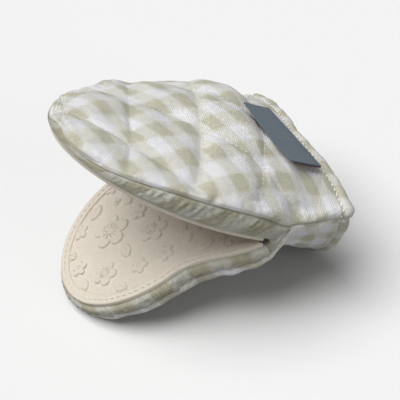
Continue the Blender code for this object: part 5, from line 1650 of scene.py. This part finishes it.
@dataclass
class RibbonLabel:
    """A bare woven ribbon, folded and sewn down along one long edge beside the hem."""

    shop: Workshop
    length: float = 50 * MM
    width: float = 22 * MM
    thickness: float = 0.45 * MM
    lean: float = 10.5 * DEG
    seam_gap: float = 1.7 * MM
    skew: float = 0.09

    def build(self, cover: np.ndarray) -> None:
        """Two leaves joined by a fold, lying on the cover, and the stitches along the sewn edge.

        The leaves start as a flat plate that leans from the sewn edge towards the cover, folded a little askew.
        Where the cover stands higher than the plate, the ribbon rides over it: its height is the softened
        greater of the two.

        Args:
            cover: the finger cover's points in the hinge frame.
        """
        seat, run = self.shop.joint("label_lift")
        low, high = (np.array(corner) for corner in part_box("label"))
        ahead = unit(seat - (low + high) / 2)
        ahead = unit(ahead - run * (ahead @ run))
        out = np.cross(ahead, run)
        out *= np.sign(out[2])
        ahead, out = (ahead * math.cos(self.lean) + out * math.sin(self.lean),
                      out * math.cos(self.lean) - ahead * math.sin(self.lean))
        slit = 0.35 * MM
        t = np.linspace(-1, 1, 61)
        leaf = np.linspace(0, 1, 26)
        turn = np.linspace(-90, 90, 9)[1:-1] * DEG
        reach = self.seam_gap + np.concatenate(
            [leaf * self.width, self.width + slit * np.cos(turn), leaf[::-1] * self.width])
        rise = np.concatenate([0 * leaf, slit + slit * np.sin(turn), 0 * leaf + 2 * slit])
        rest = self.rest(self.shop.world(cover).reshape(-1, 3) - seat, run, -ahead, out, t * self.length / 2, reach)
        curl = 0.7 * MM * np.abs(t)[:, None] ** 3 * (reach / self.width)[None] ** 2
        lift = np.logaddexp(rest / (0.6 * MM), (0.25 * MM + curl) / (0.6 * MM)) * 0.6 * MM
        askew = reach[None] * (1 - self.skew * t)[:, None]
        grid = (seat + run * (t * self.length / 2)[:, None, None] - ahead * askew[..., None]
                + out * (rise[None] + lift)[..., None])
        flat = np.stack(np.broadcast_arrays((t * self.length / 2)[:, None], np.cumsum(np.hypot(
            np.gradient(reach), np.gradient(rise)))[None]), axis=-1)
        piece = surface("label_ribbon", grid, seat - ahead * self.width / 2 + out * (slit + lift.mean()), flat)
        thicken(piece, self.thickness)
        self.shop.keep(piece, self.shop.finishes.ribbon, Slot.RIBBON, ["label"])
        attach(piece, Body.LABEL.value)
        backing = grid[:, :24] - out * 0.35 * MM + run * (t * 0.35 * MM)[:, None, None]
        under = surface("label_underside", backing, seat + out * 8 * MM, flat[:, :24])
        thicken(under, 0.2 * MM)
        self.shop.keep(under, self.shop.finishes.ribbon_back, Slot.RIBBON)
        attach(under, Body.LABEL.value)
        line = grid[2:-2, -3] + out * 0.2 * MM
        thread = stitch_run("label_stitches", line, np.broadcast_to(out, line.shape), 2.4 * MM, 1.7 * MM, 0.14 * MM, 0.1 * MM)
        self.shop.keep(thread, self.shop.finishes.ribbon, Slot.RIBBON)
        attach(thread, Body.LABEL.value)

    @staticmethod
    def rest(cover: np.ndarray, run: np.ndarray, over: np.ndarray, out: np.ndarray, along: np.ndarray,
             across: np.ndarray) -> np.ndarray:
        """Height of the cover under each place of the label: the mean of the near points, weighted by a bell curve.

        Args:
            cover: points of the cover, measured from the label's seat.
            run, over, out: the label's directions along its sewn edge, towards its free edge and off the cover.
            along, across: the label's places in those directions.

        Returns:
            Heights, rows along and columns across, with room for the cloth's own unevenness.
        """
        a, b, h = cover @ run, cover @ over, cover @ out
        near = (np.abs(a) < 28 * MM) & (b > -3 * MM) & (b < 29 * MM) & (np.abs(h) < 12 * MM)
        a, b, h = a[near], b[near], h[near]
        gap = (along[:, None, None] - a) ** 2 + (across[None, :, None] - b) ** 2
        weight = np.exp(-gap / (1.6 * MM) ** 2) + 1e-12
        return np.sum(weight * h, axis=-1) / np.sum(weight, axis=-1) + 0.5 * MM


@dataclass
class Studio:
    """The pale floor, the soft lamps and the camera at the photograph's angle."""

    hinge: np.ndarray
    azimuth: float = -22.71 * DEG
    elevation: float = 38.01 * DEG
    distance: float = 0.699
    focal_pixels: float = 1315.07
    centre: tuple[float, float] = (17.06, 25.34)
    roll: float = 1.18 * DEG
    picture: float = 400.0
    paper: float = 0.80
    paper_bounce: float = 0.4
    key: float = 3.3
    fill: float = 0.45
    sky: float = 0.13

    def camera(self) -> None:
        """A camera that looks at the hinge from the photograph's place, a little rolled and shifted."""
        ca, sa = math.cos(self.azimuth), math.sin(self.azimuth)
        ce, se = math.cos(self.elevation), math.sin(self.elevation)
        back = Vector((sa * ce, -ca * ce, se))
        right = Vector((ca, sa, 0))
        up = back.cross(right)
        cr, sr = math.cos(self.roll), math.sin(self.roll)
        right, up = right * cr - up * sr, right * sr + up * cr
        data = bpy.data.cameras.new("photo_camera")
        data.sensor_width = 36
        data.lens = self.focal_pixels / self.picture * data.sensor_width
        x, y = self.centre
        data.shift_x = -(x * cr - y * sr) / self.picture
        data.shift_y = -(x * sr + y * cr) / self.picture
        data.clip_start = 0.01
        camera = bpy.data.objects.new("photo_camera", data)
        bpy.context.collection.objects.link(camera)
        place = Vector(self.hinge) + back * self.distance
        camera.matrix_world = Matrix.Translation(place) @ Matrix((right, up, back)).transposed().to_4x4()
        bpy.context.scene.camera = camera

    def floor(self) -> None:
        """A wide floor that keeps the mitt's shadow. The camera sees it pale, and it throws back less light."""
        mesh = bpy.data.meshes.new("studio_floor")
        size = 3.0
        mesh.from_pydata([(-size, -size, 0), (size, -size, 0), (size, size, 0), (-size, size, 0)], [], [(0, 1, 2, 3)])
        floor = link("studio_floor", mesh)
        material = bpy.data.materials.new("studio paper")
        material.use_nodes = True
        wire = Wiring(material.node_tree)
        shader = material.node_tree.nodes["Principled BSDF"]
        shader.inputs["Roughness"].default_value = 1.0
        shader.inputs["Specular IOR Level"].default_value = 0.0
        path = wire.node("ShaderNodeLightPath")
        seen = wire.math("MAXIMUM", path.outputs["Is Camera Ray"],
                         wire.math("MAXIMUM", path.outputs["Is Glossy Ray"], path.outputs["Is Transmission Ray"]))
        tone = [(shade, shade, shade, 1) for shade in (self.paper_bounce, self.paper)]
        wire.feed(wire.mix(seen, *tone), shader.inputs["Base Color"])
        mesh.materials.append(material)

    @staticmethod
    def sun(name: str, direction: tuple[float, float, float], spread: float, strength: float) -> None:
        """A far soft lamp that shines from a direction, as even over the floor as a large softbox."""
        data = bpy.data.lights.new(name, "SUN")
        data.angle = spread
        data.energy = strength
        lamp = bpy.data.objects.new(name, data)
        bpy.context.collection.objects.link(lamp)
        lamp.rotation_euler = (-Vector(direction)).to_track_quat("-Z", "Y").to_euler()

    def light(self) -> None:
        """A soft key from above and behind, a weaker one low from the left, and a faint pale sky."""
        self.sun("key_softbox", (-0.44, 0.02, 1.0), 52 * DEG, self.key)
        self.sun("fill_softbox", (0.5, -0.85, 0.22), 50 * DEG, self.fill)
        world = bpy.data.worlds.new("studio_sky")
        bpy.context.scene.world = world
        world.use_nodes = True
        tree = world.node_tree
        wire = Wiring(tree)
        sky = tree.nodes["Background"]
        sky.inputs["Color"].default_value = (0.98, 0.99, 1.0, 1)
        sky.inputs["Strength"].default_value = self.sky
        seen = wire.node("ShaderNodeBackground")
        seen.inputs["Color"].default_value = (0.913, 0.913, 0.913, 1)
        seen.inputs["Strength"].default_value = 1.0
        path = wire.node("ShaderNodeLightPath")
        choose = wire.node("ShaderNodeMixShader")
        wire.feed(path.outputs["Is Camera Ray"], choose.inputs[0])
        tree.links.new(sky.outputs[0], choose.inputs[1])
        tree.links.new(seen.outputs[0], choose.inputs[2])
        tree.links.new(choose.outputs[0], tree.nodes["World Output"].inputs[0])

    def build(self) -> None:
        """Everything that isn't the mitt."""
        self.camera()
        self.floor()
        self.light()
        bpy.context.scene.view_settings.view_transform = "Standard"


def main() -> None:
    """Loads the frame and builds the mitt's pieces in order."""
    logging.basicConfig(level=logging.INFO, format="%(name)s %(message)s", force=True)
    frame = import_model()
    form = MittForm()
    shop = Workshop(form, Finishes(), frame["joints"])
    count = len(SEAM_ROLL)
    back = FingerBack(shop)
    upper, flat = back.cover()
    back.stitches(upper, flat)
    back.layers()
    junction_s, _ = form.fingers.find(*form.junction)
    walls = [
        PalmWall(shop, "finger", form.fingers, form.finger_outline, form.finger_seam, form.finger_length, junction_s,
                 Body.FINGERS, ["finger_palm_cloth"], 81),
        PalmWall(shop, "thumb", form.thumb, form.thumb_outline, form.thumb_seam, form.thumb_length, 0.0,
                 Body.THUMB, ["thumb_palm_cloth"], 91),
    ]
    for wall in walls:
        wall.build()
        wall.padding()
    lower = LowerPanel(shop).build()
    FoldGusset(shop).build()
    CuffHem(shop).build(upper[:, count:-count], lower[:, count:-count])
    GripPad(shop, "finger", form.fingers, form.finger_outline, form.finger_length, FINGER_RELIEFS, Body.FINGERS).build()
    GripPad(shop, "thumb", form.thumb, form.thumb_outline, form.thumb_length, THUMB_RELIEFS, Body.THUMB).build()
    RibbonLabel(shop).build(upper[:, count:-count])
    Studio(shop.hinge).build()


if __name__ == "__main__":
    main()
